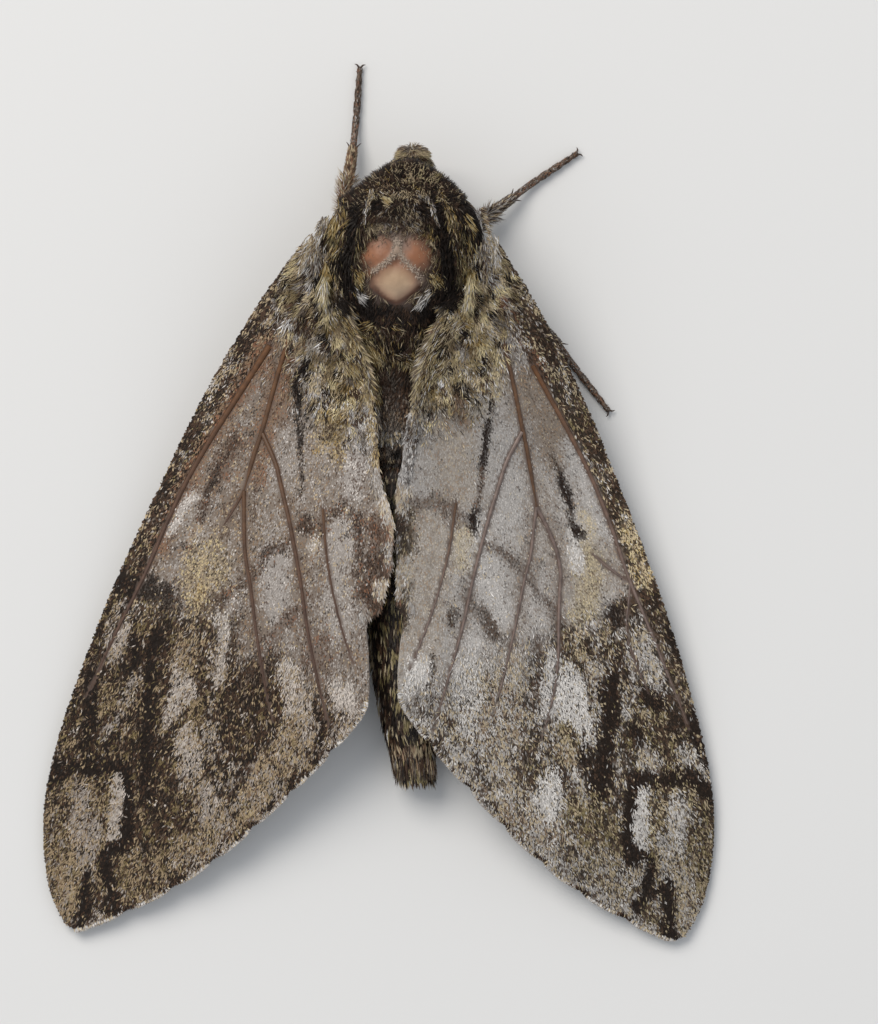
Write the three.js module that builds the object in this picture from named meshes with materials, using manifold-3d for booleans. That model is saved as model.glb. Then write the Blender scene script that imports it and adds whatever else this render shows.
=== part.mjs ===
// A hawk moth at rest on the floor, life size, as a museum would model it.
// Millimetres, +Z up, +Y towards the head, +X towards the moth's right side.
// The trunk is one smooth barrel parted by thin cuts. The wings are cambered slabs laid over it like a
// roof, the legs and feelers are tapered tubes, and the feet stand on small flats at one level.
import * as THREE from "three";
import { mergeVertices } from "three/addons/utils/BufferGeometryUtils.js";
import Module from "manifold-3d";

const wasm = await Module();
wasm.setup();

// ---- Driving dimensions -------------------------------------------------------------------------

const GAP = 0.3; // clearance between neighbouring pieces
const RIGHT = 1;
const LEFT = -1;

const FOREWING_LENGTH = 58.7; // from the hinge to the tip
const FOREWING_ROOT = -3.4; // the wing's root end, ahead of its hinge
const FOREWING_THICKNESS = 0.55;
const HINDWING_LENGTH = 34;
const HINDWING_THICKNESS = 0.5;
const WING_TIP_HEIGHT = 1;
const WING_FALL = 8.2; // how far the wing's middle line falls from its hinge to its tip
const WINGS_MEET_X = -0.38; // the line between the two inner margins, over the abdomen
const HINGE = { [RIGHT]: { x: 6.5, y: 17.5 }, [LEFT]: { x: -6.8, y: 17.1 } };
const OPENED_DEG = { [RIGHT]: 17.5, [LEFT]: 21.6 }; // the wing's long axis, outwards from straight back

const EYE = { out: 1.95, y: 24.9, z: 5.2, radius: 1.42, tall: 1.12 };
const TEGULA = { front: 21.3, back: 14.6, inner: 0.5, outer: 1.28, depth: 0.8 };

// Trunk sections: [y, centre x, half width, centre z, half height].
const TRUNK = [
  [-25.4, 1.35, 1.75, 2.35, 1.35],
  [-23.4, 1.1, 2.1, 2.5, 1.75],
  [-20, 0.75, 2.7, 3.0, 2.3],
  [-14, 0.3, 3.4, 4.0, 3.1],
  [-8, 0, 3.95, 4.7, 3.7],
  [0, -0.3, 4.4, 5.2, 4.1],
  [6, -0.45, 4.5, 5.5, 4.2],
  [9.5, -0.5, 4.6, 5.6, 4.2],
  [12.5, -0.4, 5.2, 6.2, 4.8],
  [15.5, -0.15, 6.1, 7.0, 5.6],
  [18, 0.05, 6.8, 7.4, 5.9],
  [20.5, 0.3, 6.85, 7.4, 5.6],
  [22.3, 0.5, 6.1, 7.5, 4.7],
  [23.6, 0.68, 4.9, 8.0, 3.1],
  [24.9, 0.8, 3.4, 8.4, 1.6],
];
const HEAD = [
  [22.6, 0.55, 1.9, 5.9, 1.9],
  [23.6, 0.66, 2.6, 5.8, 2.5],
  [25.1, 0.84, 2.6, 5.7, 2.8],
  [26.4, 0.98, 1.85, 5.6, 2.3],
  [27.2, 1.06, 1.0, 5.5, 1.4],
];
const THORAX_ENDS = [9.6, 22.0];
const COLLAR_ENDS = [22.3, 24.8];
// The abdomen's rings, from the waist back, and the brush of scales at its end.
const ABDOMEN_CUTS = [9.3, 5, 0.6, -4, -8.6, -13.2, -17.6, -21.2, -23.5];
const TAIL_ENDS = [-25.4, -23.8];

// Forewing edges across the wing, against the distance from the hinge: the costa, then the inner
// margin, the rounded hind corner and the outer margin.
const COSTA = [
  [-3.4, -1.7], [-1, -2.4], [4, -3.7], [12, -5.1], [22, -6], [32, -6.5], [42, -6.3], [48, -5.6],
  [52, -4.4], [56, -2.3], [58, -0.4], [58.7, 0.5],
];
const INNER = [
  [-3.4, 0.6], [0, 3], [5, 6.6], [10, 9.2], [14, 10.8], [17, 12.6], [24, 14.3], [28, 15.9],
  [31.8, 17.1], [34, 16.7], [38, 15.2], [44, 12.5], [48, 10.4], [52, 7.7], [56, 4.1], [58, 1.9], [58.7, 0.9],
];
const SLOPE = [[-3.4, 0.37], [10, 0.37], [18, 0.385], [30.5, 0.225], [45, 0.15], [58.7, 0.1]];
const VEIN_ENDS = [36.2, 40.7, 44.6, 48.4, 51.7, 55]; // where the outer margin is notched
const NOTCH = { depth: 0.35, width: 0.55 };
const HIND_EDGES = [
  [0.5, -1, 3], [8, -3, 6.5], [16, -4.2, 8.4], [24, -4.4, 9.2], [30, -3.2, 7.8], [34, 0.5, 2.5],
];

// Feelers, swept back under the wings' leading edges: [out from the middle line, y, z], thickest at
// two thirds of their length.
const FEELER = {
  path: [[1.2, 25.9, 7.9], [2.5, 25.8, 7.4], [3.8, 24.4, 6.2], [5.4, 22.1, 4.3], [6.5, 19, 4.3],
    [7, 15, 4.7], [6.9, 10.5, 4.7], [6.4, 6, 4.6]],
  radii: [[0, 0.42], [0.3, 0.42], [0.65, 0.5], [0.9, 0.36], [1, 0.26]],
};

// Legs: the points of each joint in turn, hip to knee, knee to ankle, and ankle to claws.
const LEGS = {
  foreleg_left: { femur: [[-2, 19, 3.2], [-4.7, 22.8, 2.7]], tibia: [[-4.7, 23.3, 2.6], [-4, 27.5, 1.5]],
    tarsus: [[-3.95, 27.95, 1.2], [-3.75, 30, 0.4], [-3.4, 34.5, 0.26]] },
  foreleg_right: { femur: [[2.6, 18.8, 3.2], [5.9, 21.1, 2.8]], tibia: [[6.2, 21.4, 2.7], [9.15, 23.4, 1.5]],
    tarsus: [[9.55, 23.75, 1.2], [11, 24.9, 0.4], [15.05, 27.6, 0.26]] },
  midleg_left: { femur: [[-3, 16, 3.4], [-8.2, 15.6, 3.3]], tibia: [[-8.5, 15.3, 3.2], [-11.8, 10.8, 1.5]],
    tarsus: [[-12, 10.4, 1.15], [-12.9, 8.2, 0.4], [-14.5, 4.2, 0.26]] },
  midleg_right: { femur: [[3, 16, 3.4], [8.6, 15.9, 3.3]], tibia: [[8.95, 15.65, 3.2], [13, 11.7, 1.5]],
    tarsus: [[13.3, 11.35, 1.15], [14.5, 9.7, 0.4], [17.65, 5.7, 0.26]] },
  hindleg_left: { femur: [[-3, 13, 3.4], [-6.8, 8.6, 3.1]], tibia: [[-7, 8.2, 3], [-8.9, 0.6, 1.5]],
    tarsus: [[-9, 0.2, 1.15], [-9.3, -2.4, 0.4], [-9.9, -9.3, 0.26]] },
  hindleg_right: { femur: [[2.4, 13, 3.4], [6.4, 8.6, 3.1]], tibia: [[6.6, 8.2, 3], [8.5, 0.6, 1.5]],
    tarsus: [[8.6, 0.2, 1.15], [8.9, -2.4, 0.4], [9.4, -9.3, 0.26]] },
};
const FEMUR_RADII = [[0, 0.75], [0.45, 0.78], [1, 0.5]];
const TIBIA_RADII = [[0, 0.42], [0.35, 0.54], [1, 0.42]];
const TARSUS_JOINTS = [0.42, 0.6, 0.75, 0.88]; // shares of its length where the foot is pinched
const TARSUS_RADIUS = 0.38;
const CLAW = { spread: 0.62, radius: 0.25, reach: 0.35, lift: 0.05 };
const SPUR = { spread: 0.95, radius: 0.26, back: 0.5, reach: 0.7 }; // a pair at each ankle

// ---- Finishes -----------------------------------------------------------------------------------

const finish = (color, roughness) => new THREE.MeshStandardMaterial({ color, roughness, metalness: 0 });
const FUR = finish("#4c4134", 0.95);
const WING = finish("#766d64", 0.85);
const LEG = finish("#5b5350", 0.8);
const EYE_GLOSS = finish("#1c1512", 0.25);

// ---- Shape helpers ------------------------------------------------------------------------------

// A smooth function through rows of [x, value, value...], x rising, as cubic pieces whose slope at
// each row is that of the chord between its neighbours.
function through(rows) {
  const last = rows.length - 1;
  const slope = (i, k) => {
    const before = rows[Math.max(i - 1, 0)];
    const after = rows[Math.min(i + 1, last)];
    return (after[k] - before[k]) / (after[0] - before[0]);
  };
  return (x) => {
    let i = 0;
    while (i < last - 1 && x > rows[i + 1][0]) i += 1;
    const span = rows[i + 1][0] - rows[i][0];
    const t = (x - rows[i][0]) / span;
    return rows[i].slice(1).map((_, n) => {
      const k = n + 1;
      const [p0, p1] = [rows[i][k], rows[i + 1][k]];
      const [m0, m1] = [slope(i, k) * span, slope(i + 1, k) * span];
      const [t2, t3] = [t * t, t * t * t];
      return (2 * t3 - 3 * t2 + 1) * p0 + (t3 - 2 * t2 + t) * m0 + (3 * t2 - 2 * t3) * p1 + (t3 - t2) * m1;
    });
  };
}

// A three.js geometry with each of its points moved by place(x, y, z), as a manifold-3d solid.
function shaped(geometry, place) {
  const bare = new THREE.BufferGeometry().setAttribute("position", geometry.getAttribute("position").clone());
  bare.setIndex(geometry.index.clone());
  const at = bare.getAttribute("position");
  for (let i = 0; i < at.count; i += 1) at.setXYZ(i, ...place(at.getX(i), at.getY(i), at.getZ(i)));
  const merged = mergeVertices(bare, 1e-4);
  const build = (turned) => {
    const triVerts = new Uint32Array(merged.index.array);
    for (let i = 0; turned && i < triVerts.length; i += 3) {
      [triVerts[i + 1], triVerts[i + 2]] = [triVerts[i + 2], triVerts[i + 1]];
    }
    const vertProperties = merged.getAttribute("position").array;
    return new wasm.Manifold(new wasm.Mesh({ numProp: 3, vertProperties, triVerts }));
  };
  const made = build(false);
  return made.volume() < 0 ? build(true) : made;
}

// The largest body left after the cuts.
function cutBy(solid, ...cutters) {
  const left = cutters.reduce((rest, cutter) => rest.subtract(cutter), solid);
  return left.decompose().sort((a, b) => b.volume() - a.volume())[0];
}

// A stretch of a body given by sections, grown outwards by `out`, with flat ends.
function barrel(rows, [from, to], { sides = 24, rings = 4, out = 0 }) {
  const section = through(rows);
  return shaped(new THREE.CylinderGeometry(1, 1, 1, sides, rings), (x, y, z) => {
    const along = from + (y + 0.5) * (to - from);
    const [cx, halfWidth, cz, halfHeight] = section(along);
    return [cx + x * (halfWidth + out), along, cz + z * (halfHeight + out)];
  });
}

// A tapered tube along points; radiusAt is given the share of the length. Nothing goes below the floor.
function tube(points, radiusAt, { sides = 6, rings = 6 }) {
  const curve = new THREE.CatmullRomCurve3(points.map((p) => new THREE.Vector3(...p)), false, "centripetal");
  return shaped(new THREE.CylinderGeometry(1, 1, 1, sides, rings), (x, y, z) => {
    const t = y + 0.5;
    const tangent = curve.getTangentAt(t);
    const side = tangent.clone().cross(new THREE.Vector3(0, 0, 1)).normalize();
    const up = side.clone().cross(tangent);
    const p = curve.getPointAt(t).addScaledVector(side, x * radiusAt(t)).addScaledVector(up, z * radiusAt(t));
    return [p.x, p.y, Math.max(p.z, 0)];
  });
}

const ball = (x, y, z, radius, tall = 1) => shaped(
  new THREE.SphereGeometry(radius, 14, 8),
  (px, py, pz) => [x + px, y + py, z + pz * tall],
);

const group = new THREE.Group();
function add(name, solid, material) {
  const { numProp, numVert, vertProperties, triVerts } = solid.getMesh();
  const at = new Float32Array(numVert * 3);
  for (let i = 0; i < numVert; i += 1) at.set(vertProperties.subarray(i * numProp, i * numProp + 3), i * 3);
  const geometry = new THREE.BufferGeometry().setAttribute("position", new THREE.BufferAttribute(at, 3));
  geometry.setIndex(new THREE.BufferAttribute(new Uint32Array(triVerts), 1));
  geometry.computeVertexNormals();
  const mesh = new THREE.Mesh(geometry, material);
  mesh.name = name;
  group.add(mesh);
}

const SIDES = { left: LEFT, right: RIGHT };
const headMiddle = (y) => through(HEAD)(y)[0];

// ---- Head ---------------------------------------------------------------------------------------

const eye = (side, out = 0) => ball(
  headMiddle(EYE.y) + side * EYE.out, EYE.y, EYE.z, EYE.radius + out, EYE.tall,
);
const headWhole = (out) => barrel(HEAD, [HEAD[0][0] - out, HEAD.at(-1)[0] + out], { sides: 18, rings: 6, out });
const head = cutBy(headWhole(0), eye(LEFT, GAP), eye(RIGHT, GAP));
const headRoom = headWhole(GAP);

function palp(side) {
  const x = headMiddle(26);
  const points = [[x + side * 0.8, 25.7, 3.5], [x + side * 0.86, 27.1, 4.1], [x + side * 0.84, 27.45, 6.3]];
  return cutBy(tube(points, (t) => 0.66 - 0.2 * t, { sides: 8, rings: 5 }), headRoom);
}

// The feeler springs from between the eyes, rounds the eye and runs back along the thorax.
function feeler(side) {
  const radius = through(FEELER.radii);
  const points = FEELER.path.map(([out, y, z]) => [headMiddle(25) * (y > 20 ? 1 : 0.3) + side * out, y, z]);
  return tube(points, (t) => radius(t)[0], { rings: 20 });
}

// ---- Trunk --------------------------------------------------------------------------------------

// A scale-covered flap over the wing's root: a patch of the trunk's own surface, `grow` bigger all round.
function tegula(side, grow = 0) {
  const section = through(TRUNK);
  return shaped(new THREE.BoxGeometry(1, 1, 1, 5, 8, 1), (x, y, z) => {
    const t = y + 0.5;
    const narrowed = 1 - 0.55 * (2 * t - 1) ** 4;
    const along = TEGULA.back - grow + t * (TEGULA.front - TEGULA.back + 2 * grow);
    const middle = (TEGULA.inner + TEGULA.outer) / 2;
    const [cx, halfWidth, cz, halfHeight] = section(along);
    const spread = (TEGULA.outer - TEGULA.inner) * narrowed + (2 * grow) / halfWidth;
    const angle = middle + x * spread;
    const out = z > 0 ? grow : -TEGULA.depth - grow;
    return [cx + side * Math.sin(angle) * (halfWidth + out), along, cz + Math.cos(angle) * (halfHeight + out)];
  });
}

const tegulaRoom = [tegula(LEFT, GAP), tegula(RIGHT, GAP)];
const thorax = cutBy(barrel(TRUNK, THORAX_ENDS, { rings: 10 }), ...tegulaRoom);
const collar = cutBy(barrel(TRUNK, COLLAR_ENDS, { rings: 3 }), headRoom, eye(LEFT, GAP), eye(RIGHT, GAP), ...tegulaRoom);
const trunkRoom = barrel(TRUNK, [TAIL_ENDS[0] - GAP, COLLAR_ENDS[1] + GAP], { sides: 24, rings: 24, out: GAP });

function abdomenRing(n) {
  const [front, back] = [ABDOMEN_CUTS[n], ABDOMEN_CUTS[n + 1] + GAP];
  return barrel(TRUNK, [back, front], { sides: 20, rings: 2 });
}

// ---- Wings --------------------------------------------------------------------------------------

// The place on the floor plan of a point `along` the wing from its hinge and `across` it, towards the body.
function onPlan(side, along, across) {
  const angle = THREE.MathUtils.degToRad(OPENED_DEG[side]);
  const { x, y } = HINGE[side];
  return [
    x + side * (along * Math.sin(angle) - across * Math.cos(angle)),
    y - along * Math.cos(angle) - across * Math.sin(angle),
  ];
}

// How far across the wing the line between the two wings lies.
function acrossToMeet(side, along) {
  const angle = THREE.MathUtils.degToRad(OPENED_DEG[side]);
  const toLine = side * (HINGE[side].x - WINGS_MEET_X) - GAP / 2;
  return (toLine + along * Math.sin(angle)) / Math.cos(angle);
}

const slopeAt = through(SLOPE);
const wingTop = (along, across) => WING_TIP_HEIGHT
  + WING_FALL * Math.max(0, 1 - along / FOREWING_LENGTH) ** 1.4
  + slopeAt(along)[0] * across;

function innerEdge(side, along) {
  const notches = VEIN_ENDS.reduce((sum, at) => sum + Math.exp(-(((along - at) / NOTCH.width) ** 2)), 0);
  return Math.min(through(INNER)(along)[0] - NOTCH.depth * notches, acrossToMeet(side, along));
}

function forewing(side) {
  return shaped(new THREE.BoxGeometry(1, 1, 1, 5, 40, 1), (x, y, z) => {
    const share = 1 - (0.5 - y) ** 1.6; // closer steps towards the tip
    const along = FOREWING_ROOT + share * (FOREWING_LENGTH - FOREWING_ROOT);
    const [costa, inner] = [through(COSTA)(along)[0], innerEdge(side, along)];
    const across = costa + (x + 0.5) * (inner - costa);
    return [...onPlan(side, along, across), wingTop(along, across) + (z - 0.5) * FOREWING_THICKNESS];
  });
}

// The hindwing lies folded under the forewing, a little below it.
function hindwing(side) {
  const edges = through(HIND_EDGES);
  const below = FOREWING_THICKNESS + GAP + 0.1;
  return shaped(new THREE.BoxGeometry(1, 1, 1, 3, 12, 1), (x, y, z) => {
    const share = 1 - (0.5 - y) ** 1.5;
    const along = HIND_EDGES[0][0] + share * (HINDWING_LENGTH - HIND_EDGES[0][0]);
    const [costa, inner] = edges(along);
    const across = costa + (x + 0.5) * (inner - costa);
    return [...onPlan(side, along, across), wingTop(along, across) - below + (z - 0.5) * HINDWING_THICKNESS];
  });
}

// ---- Legs ---------------------------------------------------------------------------------------

function along(rows) {
  const radius = through(rows);
  return (t) => radius(t)[0];
}

// A limb with a forked pair of points, claws or spurs, added at its end.
function withPair(limb, from, to, { spread, radius }) {
  const ahead = to.clone().sub(from).setZ(0).normalize();
  const across = new THREE.Vector3(-ahead.y, ahead.x, 0);
  return [LEFT, RIGHT].reduce((whole, side) => {
    const end = to.clone().addScaledVector(across, side * spread);
    return whole.add(tube([from.toArray(), end.toArray()], () => radius, { sides: 7, rings: 1 }));
  }, limb);
}

// The foot: five pinched joints ending in a pair of claws, its underside flat on the floor.
function tarsus(points) {
  const pinched = (t) => TARSUS_JOINTS.reduce((r, at) => r - 0.09 * Math.exp(-(((t - at) / 0.025) ** 2)), 1);
  const foot = tube(points, (t) => TARSUS_RADIUS * (1.05 - 0.2 * t) * pinched(t), { rings: 13 });
  const [heel, tip] = points.slice(-2).map((p) => new THREE.Vector3(...p));
  const step = tip.clone().sub(heel).normalize();
  const lifted = tip.clone().setZ(tip.z + CLAW.lift);
  return withPair(foot, lifted.clone().addScaledVector(step, -0.3), lifted.addScaledVector(step, CLAW.reach), CLAW);
}

// The shin, with a pair of spurs at the ankle.
function tibia([knee, ankle]) {
  const [top, end] = [new THREE.Vector3(...knee), new THREE.Vector3(...ankle)];
  const step = end.clone().sub(top).normalize();
  const shin = tube([knee, ankle], along(TIBIA_RADII), { rings: 4 });
  return withPair(shin, end.clone().addScaledVector(step, -SPUR.back), end.clone().addScaledVector(step, SPUR.reach), SPUR);
}

// ---- Assembly -----------------------------------------------------------------------------------

add("head", head, FUR);
add("collar", collar, FUR);
add("thorax", thorax, FUR);
for (const [word, side] of Object.entries(SIDES)) {
  add(`eye_${word}`, eye(side), EYE_GLOSS);
  add(`palp_${word}`, palp(side), FUR);
  add(`antenna_${word}`, cutBy(feeler(side), headRoom, trunkRoom, eye(side, GAP)), LEG);
  add(`tegula_${word}`, tegula(side), FUR);
  add(`forewing_${word}`, cutBy(forewing(side), trunkRoom, ...tegulaRoom), WING);
  add(`hindwing_${word}`, cutBy(hindwing(side), trunkRoom), WING);
}
for (let n = 0; n < ABDOMEN_CUTS.length - 1; n += 1) add(`abdomen_${n + 1}`, abdomenRing(n), FUR);
add("tail_brush", barrel(TRUNK, TAIL_ENDS, { sides: 20, rings: 1 }), FUR);
for (const [name, leg] of Object.entries(LEGS)) {
  add(`${name}_femur`, cutBy(tube(leg.femur, along(FEMUR_RADII), { rings: 4 }), trunkRoom), LEG);
  add(`${name}_tibia`, tibia(leg.tibia), LEG);
  add(`${name}_tarsus`, tarsus(leg.tarsus), LEG);
}

// The origin is on the floor, under the middle of the whole moth.
const box = new THREE.Box3().setFromObject(group);
group.position.set(-(box.min.x + box.max.x) / 2, -(box.min.y + box.max.y) / 2, -box.min.z);

export default group;
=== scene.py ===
# A worn hawk moth at rest on a pale floor, life size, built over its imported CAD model.
import math

import bmesh
import bpy
import numpy as np
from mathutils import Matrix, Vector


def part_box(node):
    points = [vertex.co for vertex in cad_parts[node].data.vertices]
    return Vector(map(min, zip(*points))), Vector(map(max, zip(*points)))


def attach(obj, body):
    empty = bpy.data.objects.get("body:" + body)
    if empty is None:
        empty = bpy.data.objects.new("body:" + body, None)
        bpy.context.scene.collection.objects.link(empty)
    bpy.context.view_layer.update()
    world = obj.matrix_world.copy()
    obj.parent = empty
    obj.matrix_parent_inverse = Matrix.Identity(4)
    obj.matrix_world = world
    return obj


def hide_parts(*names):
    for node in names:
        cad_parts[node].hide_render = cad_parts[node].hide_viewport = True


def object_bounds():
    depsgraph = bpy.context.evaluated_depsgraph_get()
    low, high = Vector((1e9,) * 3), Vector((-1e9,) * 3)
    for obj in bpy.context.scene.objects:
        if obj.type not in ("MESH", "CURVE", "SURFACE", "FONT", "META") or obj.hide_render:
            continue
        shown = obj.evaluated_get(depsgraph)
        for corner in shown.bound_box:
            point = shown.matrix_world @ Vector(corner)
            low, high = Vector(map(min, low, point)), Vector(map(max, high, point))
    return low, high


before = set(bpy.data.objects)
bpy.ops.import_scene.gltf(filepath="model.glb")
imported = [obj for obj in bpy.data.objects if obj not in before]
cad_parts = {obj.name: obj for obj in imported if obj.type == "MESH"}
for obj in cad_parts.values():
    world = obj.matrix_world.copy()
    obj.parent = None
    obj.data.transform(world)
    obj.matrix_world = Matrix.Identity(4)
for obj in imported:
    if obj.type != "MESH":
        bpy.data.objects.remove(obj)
cad_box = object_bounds()

# ---- Floor, light and camera ---------------------------------------------------------------------
# A plain pale floor, a large soft lamp up to the left and an even sky. The camera looks straight down
# from half a metre, with the moth's head towards the top.

MM = 0.001
EYE_PLAN = np.array([-1.134, 24.9])  # middle of the left eye in the CAD's own plan, in millimetres
low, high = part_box("eye_left")
# SHIFT leads from that plan to the frame.
SHIFT = np.append((np.array(low) + np.array(high))[:2] / 2 / MM - EYE_PLAN, 0.0)


def linear(code):
    """The linear red, green, blue and alpha of a colour written as sRGB hex."""
    parts = [int(code[i:i + 2], 16) / 255 for i in (1, 3, 5)]
    return (*(p / 12.92 if p <= 0.04045 else ((p + 0.055) / 1.055) ** 2.4 for p in parts), 1.0)


def rgb(code):
    """The same colour without its alpha."""
    return np.array(linear(code)[:3])


def node(tree, kind, inputs=None, **settings):
    """A new node with its settings. inputs gives its sockets a value, a socket or a node to link to."""
    made = tree.nodes.new(kind)
    for key, value in settings.items():
        setattr(made, key, value)
    for key, value in (inputs or {}).items():
        if isinstance(value, bpy.types.Node):
            value = value.outputs[0]
        if isinstance(value, bpy.types.NodeSocket):
            tree.links.new(value, made.inputs[key])
        else:
            made.inputs[key].default_value = value
    return made


def material(name):
    """A new material, its node tree and its empty shader."""
    made = bpy.data.materials.new(name)
    made.use_nodes = True
    return made, made.node_tree, made.node_tree.nodes["Principled BSDF"]


def solid(name, points, faces, finish, smooth=True):
    """An object in the frame from points in plan millimetres."""
    mesh = bpy.data.meshes.new(name)
    mesh.from_pydata(((np.asarray(points) + SHIFT) * MM).tolist(), [], [list(map(int, f)) for f in faces])
    mesh.materials.append(finish)
    mesh.shade_smooth() if smooth else mesh.shade_flat()
    made = bpy.data.objects.new(name, mesh)
    bpy.context.scene.collection.objects.link(made)
    return made


# Smooth painted board: even, matt and near white.
floor_paint, tree, shader = material("pale matt floor paint")
shader.inputs["Base Color"].default_value = linear("#d9dadb")
shader.inputs["Roughness"].default_value = 0.8
FLOOR_HALF = 3000.0
corners = [(x * FLOOR_HALF, y * FLOOR_HALF, 0) for x, y in ((-1, -1), (1, -1), (1, 1), (-1, 1))]
floor = solid("floor", corners, [(0, 1, 2, 3)], floor_paint)

world = bpy.data.worlds.new("even sky")
world.use_nodes = True
sky = world.node_tree.nodes["Background"]
sky.inputs["Color"].default_value = linear("#f4f7fb")
sky.inputs["Strength"].default_value = 0.62
bpy.context.scene.world = world

lamp = bpy.data.lights.new("soft window", "AREA")
lamp.size = 0.5
lamp.energy = 5.2
lamp.color = linear("#fff8ee")[:3]
lamp_object = bpy.data.objects.new("soft window", lamp)
lamp_object.location = (-0.32, 0.42, 0.62)
lamp_object.rotation_euler = (-math.radians(34.5), -math.radians(25), 0)
bpy.context.scene.collection.objects.link(lamp_object)

CAMERA_MIDDLE = (3.25, -2.67)  # plan point under the camera
CAMERA_HEIGHT = 500.0  # above the level FOCUS_HEIGHT
FOCUS_HEIGHT = 5.0
FIELD = 1024 / 12  # millimetres seen from top to bottom at that level

camera = bpy.data.cameras.new("overhead")
camera.lens = camera.sensor_width * CAMERA_HEIGHT / FIELD
camera.clip_start, camera.clip_end = 0.01, 20
camera_object = bpy.data.objects.new("overhead", camera)
camera_object.location = (np.array([*CAMERA_MIDDLE, CAMERA_HEIGHT + FOCUS_HEIGHT]) + SHIFT) * MM
bpy.context.scene.collection.objects.link(camera_object)
bpy.context.scene.camera = camera_object
bpy.context.scene.view_settings.view_transform = "Standard"

# ---- Forewings: the membranes --------------------------------------------------------------------
# Two long membranes folded back over the body like a roof, hinged at the shoulders and stiffened by
# veins. Each is thin, dry and papery, and the scales on it carry the whole pattern.

RIGHT, LEFT = 1, -1
SIDES = {"left": LEFT, "right": RIGHT}
HINGE = {RIGHT: np.array([6.5, 17.5]), LEFT: np.array([-6.8, 17.1])}
OPENED = {RIGHT: math.radians(17.5), LEFT: math.radians(21.6)}
WING_LENGTH, WING_ROOT = 58.7, -1.7
TIP_HEIGHT, FALL = 1.0, 8.2
MEET_X = -0.38
SCALE_DEPTH = 0.1  # the membrane lies this far below the tips of its scales
FRINGE = 0.4  # and ends this far inside the tips of its fringe
FRINGE_FROM = 31.0  # which grows from here along the wing to the tip
EDGE_THICKNESS, ROOT_THICKNESS = 0.12, 0.34


def through(rows):
    """A smooth function through rows of (x, value, ...), each sloped as its neighbours' chord."""
    table = np.array(rows, float)
    x, values = table[:, 0], table[:, 1:]
    last = len(x) - 1
    before, after = np.maximum(np.arange(last + 1) - 1, 0), np.minimum(np.arange(last + 1) + 1, last)
    slope = (values[after] - values[before]) / (x[after] - x[before])[:, None]

    def at(where):
        where = np.atleast_1d(np.asarray(where, float))
        i = np.clip(np.searchsorted(x, where, side="left") - 1, 0, last - 1)
        span = (x[i + 1] - x[i])[:, None]
        t = (where - x[i])[:, None] / span
        found = (
            (2 * t**3 - 3 * t**2 + 1) * values[i] + (t**3 - 2 * t**2 + t) * span * slope[i]
            + (3 * t**2 - 2 * t**3) * values[i + 1] + (t**3 - t**2) * span * slope[i + 1]
        )
        return found[:, 0] if values.shape[1] == 1 else found

    return at


# Across the wing at each distance along it, towards the body: the costa, then the inner and outer margins.
costa_at = through([
    (-3.4, -1.7), (-1, -2.4), (4, -3.7), (12, -5.1), (22, -6), (32, -6.5), (42, -6.3), (48, -5.6),
    (52, -4.4), (56, -2.3), (58, -0.4), (58.7, 0.5),
])
margin_at = through([
    (-3.4, 0.2), (0, 2.2), (3, 4.2), (6, 6.8), (10, 9.2), (14, 11.2), (15.6, 12.6), (17.2, 13.8), (19, 14.5),
    (21.5, 14.7), (23.8, 15.0), (25, 14.4), (28, 15.7), (31.8, 17.1), (34, 16.7), (38, 15.2), (44, 12.5),
    (48, 10.4), (52, 7.7), (56, 4.1), (58, 1.9), (58.7, 0.9),
])
slope_at = through([(-3.4, 0.37), (10, 0.37), (18, 0.385), (30.5, 0.225), (45, 0.15), (58.7, 0.1)])
VEIN_ENDS = np.array([36.2, 40.7, 44.6, 48.4, 51.7, 55.0])


def inner_edge(side, a):
    """Where the wing ends towards the body: its margin, or the line where the two wings meet."""
    notches = np.exp(-(((a[:, None] - VEIN_ENDS) / 0.55) ** 2)).sum(1)
    meet = (side * (HINGE[side][0] - MEET_X) - 0.15 + a * math.sin(OPENED[side])) / math.cos(OPENED[side])
    return np.minimum(margin_at(a) - 0.35 * notches, meet)


def on_wing(side, a, c, lift=0.0):
    """Points on the wing: a along it from the hinge, c across it, lift above its scales' tips."""
    cos, sin = math.cos(OPENED[side]), math.sin(OPENED[side])
    height = TIP_HEIGHT + FALL * np.maximum(0, 1 - a / WING_LENGTH) ** 1.4 + slope_at(a) * c + lift
    x, y = HINGE[side]
    return np.c_[x + side * (a * sin - c * cos), y - a * cos - c * sin, height]


def norm(v):
    """The length of each vector."""
    return np.linalg.norm(v, axis=-1)


def unit(v):
    """Each vector at a length of 1."""
    return v / np.maximum(norm(v), 1e-9)[..., None]


def ramp(value):
    """The value kept between 0 and 1."""
    return np.clip(value, 0, 1)


def over(ground, laid, mask):
    """What the ground becomes where something is laid over it by a mask from 0 to 1."""
    return ground + (laid - ground) * mask


def wing_axes(side, a, c):
    """Unit vectors along the wing, across it and up from it."""
    step = 0.05
    along = unit(on_wing(side, a + step, c) - on_wing(side, a - step, c))
    across = unit(on_wing(side, a, c + step) - on_wing(side, a, c - step))
    return along, across, unit(np.cross(along, across) * -side)


def clouds(points, size, seed):
    """Smooth random values from 0 to 1 that change over about that many millimetres."""
    q = np.asarray(points, float) / size
    cell = np.floor(q).astype(np.int64)
    part = (q - cell) ** 2 * (3 - 2 * (q - cell))
    total = np.zeros(len(q))
    for corner in np.ndindex(*(2,) * q.shape[1]):
        key = (cell + corner) @ np.array([73856093, 19349663, 83492791])[:q.shape[1]] + seed * 9781
        key = (key ^ (key >> 13)) * 1274126177
        key = (key ^ (key >> 16)) & 0xFFFF
        total += key / 0xFFFF * np.prod(np.where(corner, part, 1 - part), axis=1)
    return total


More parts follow.
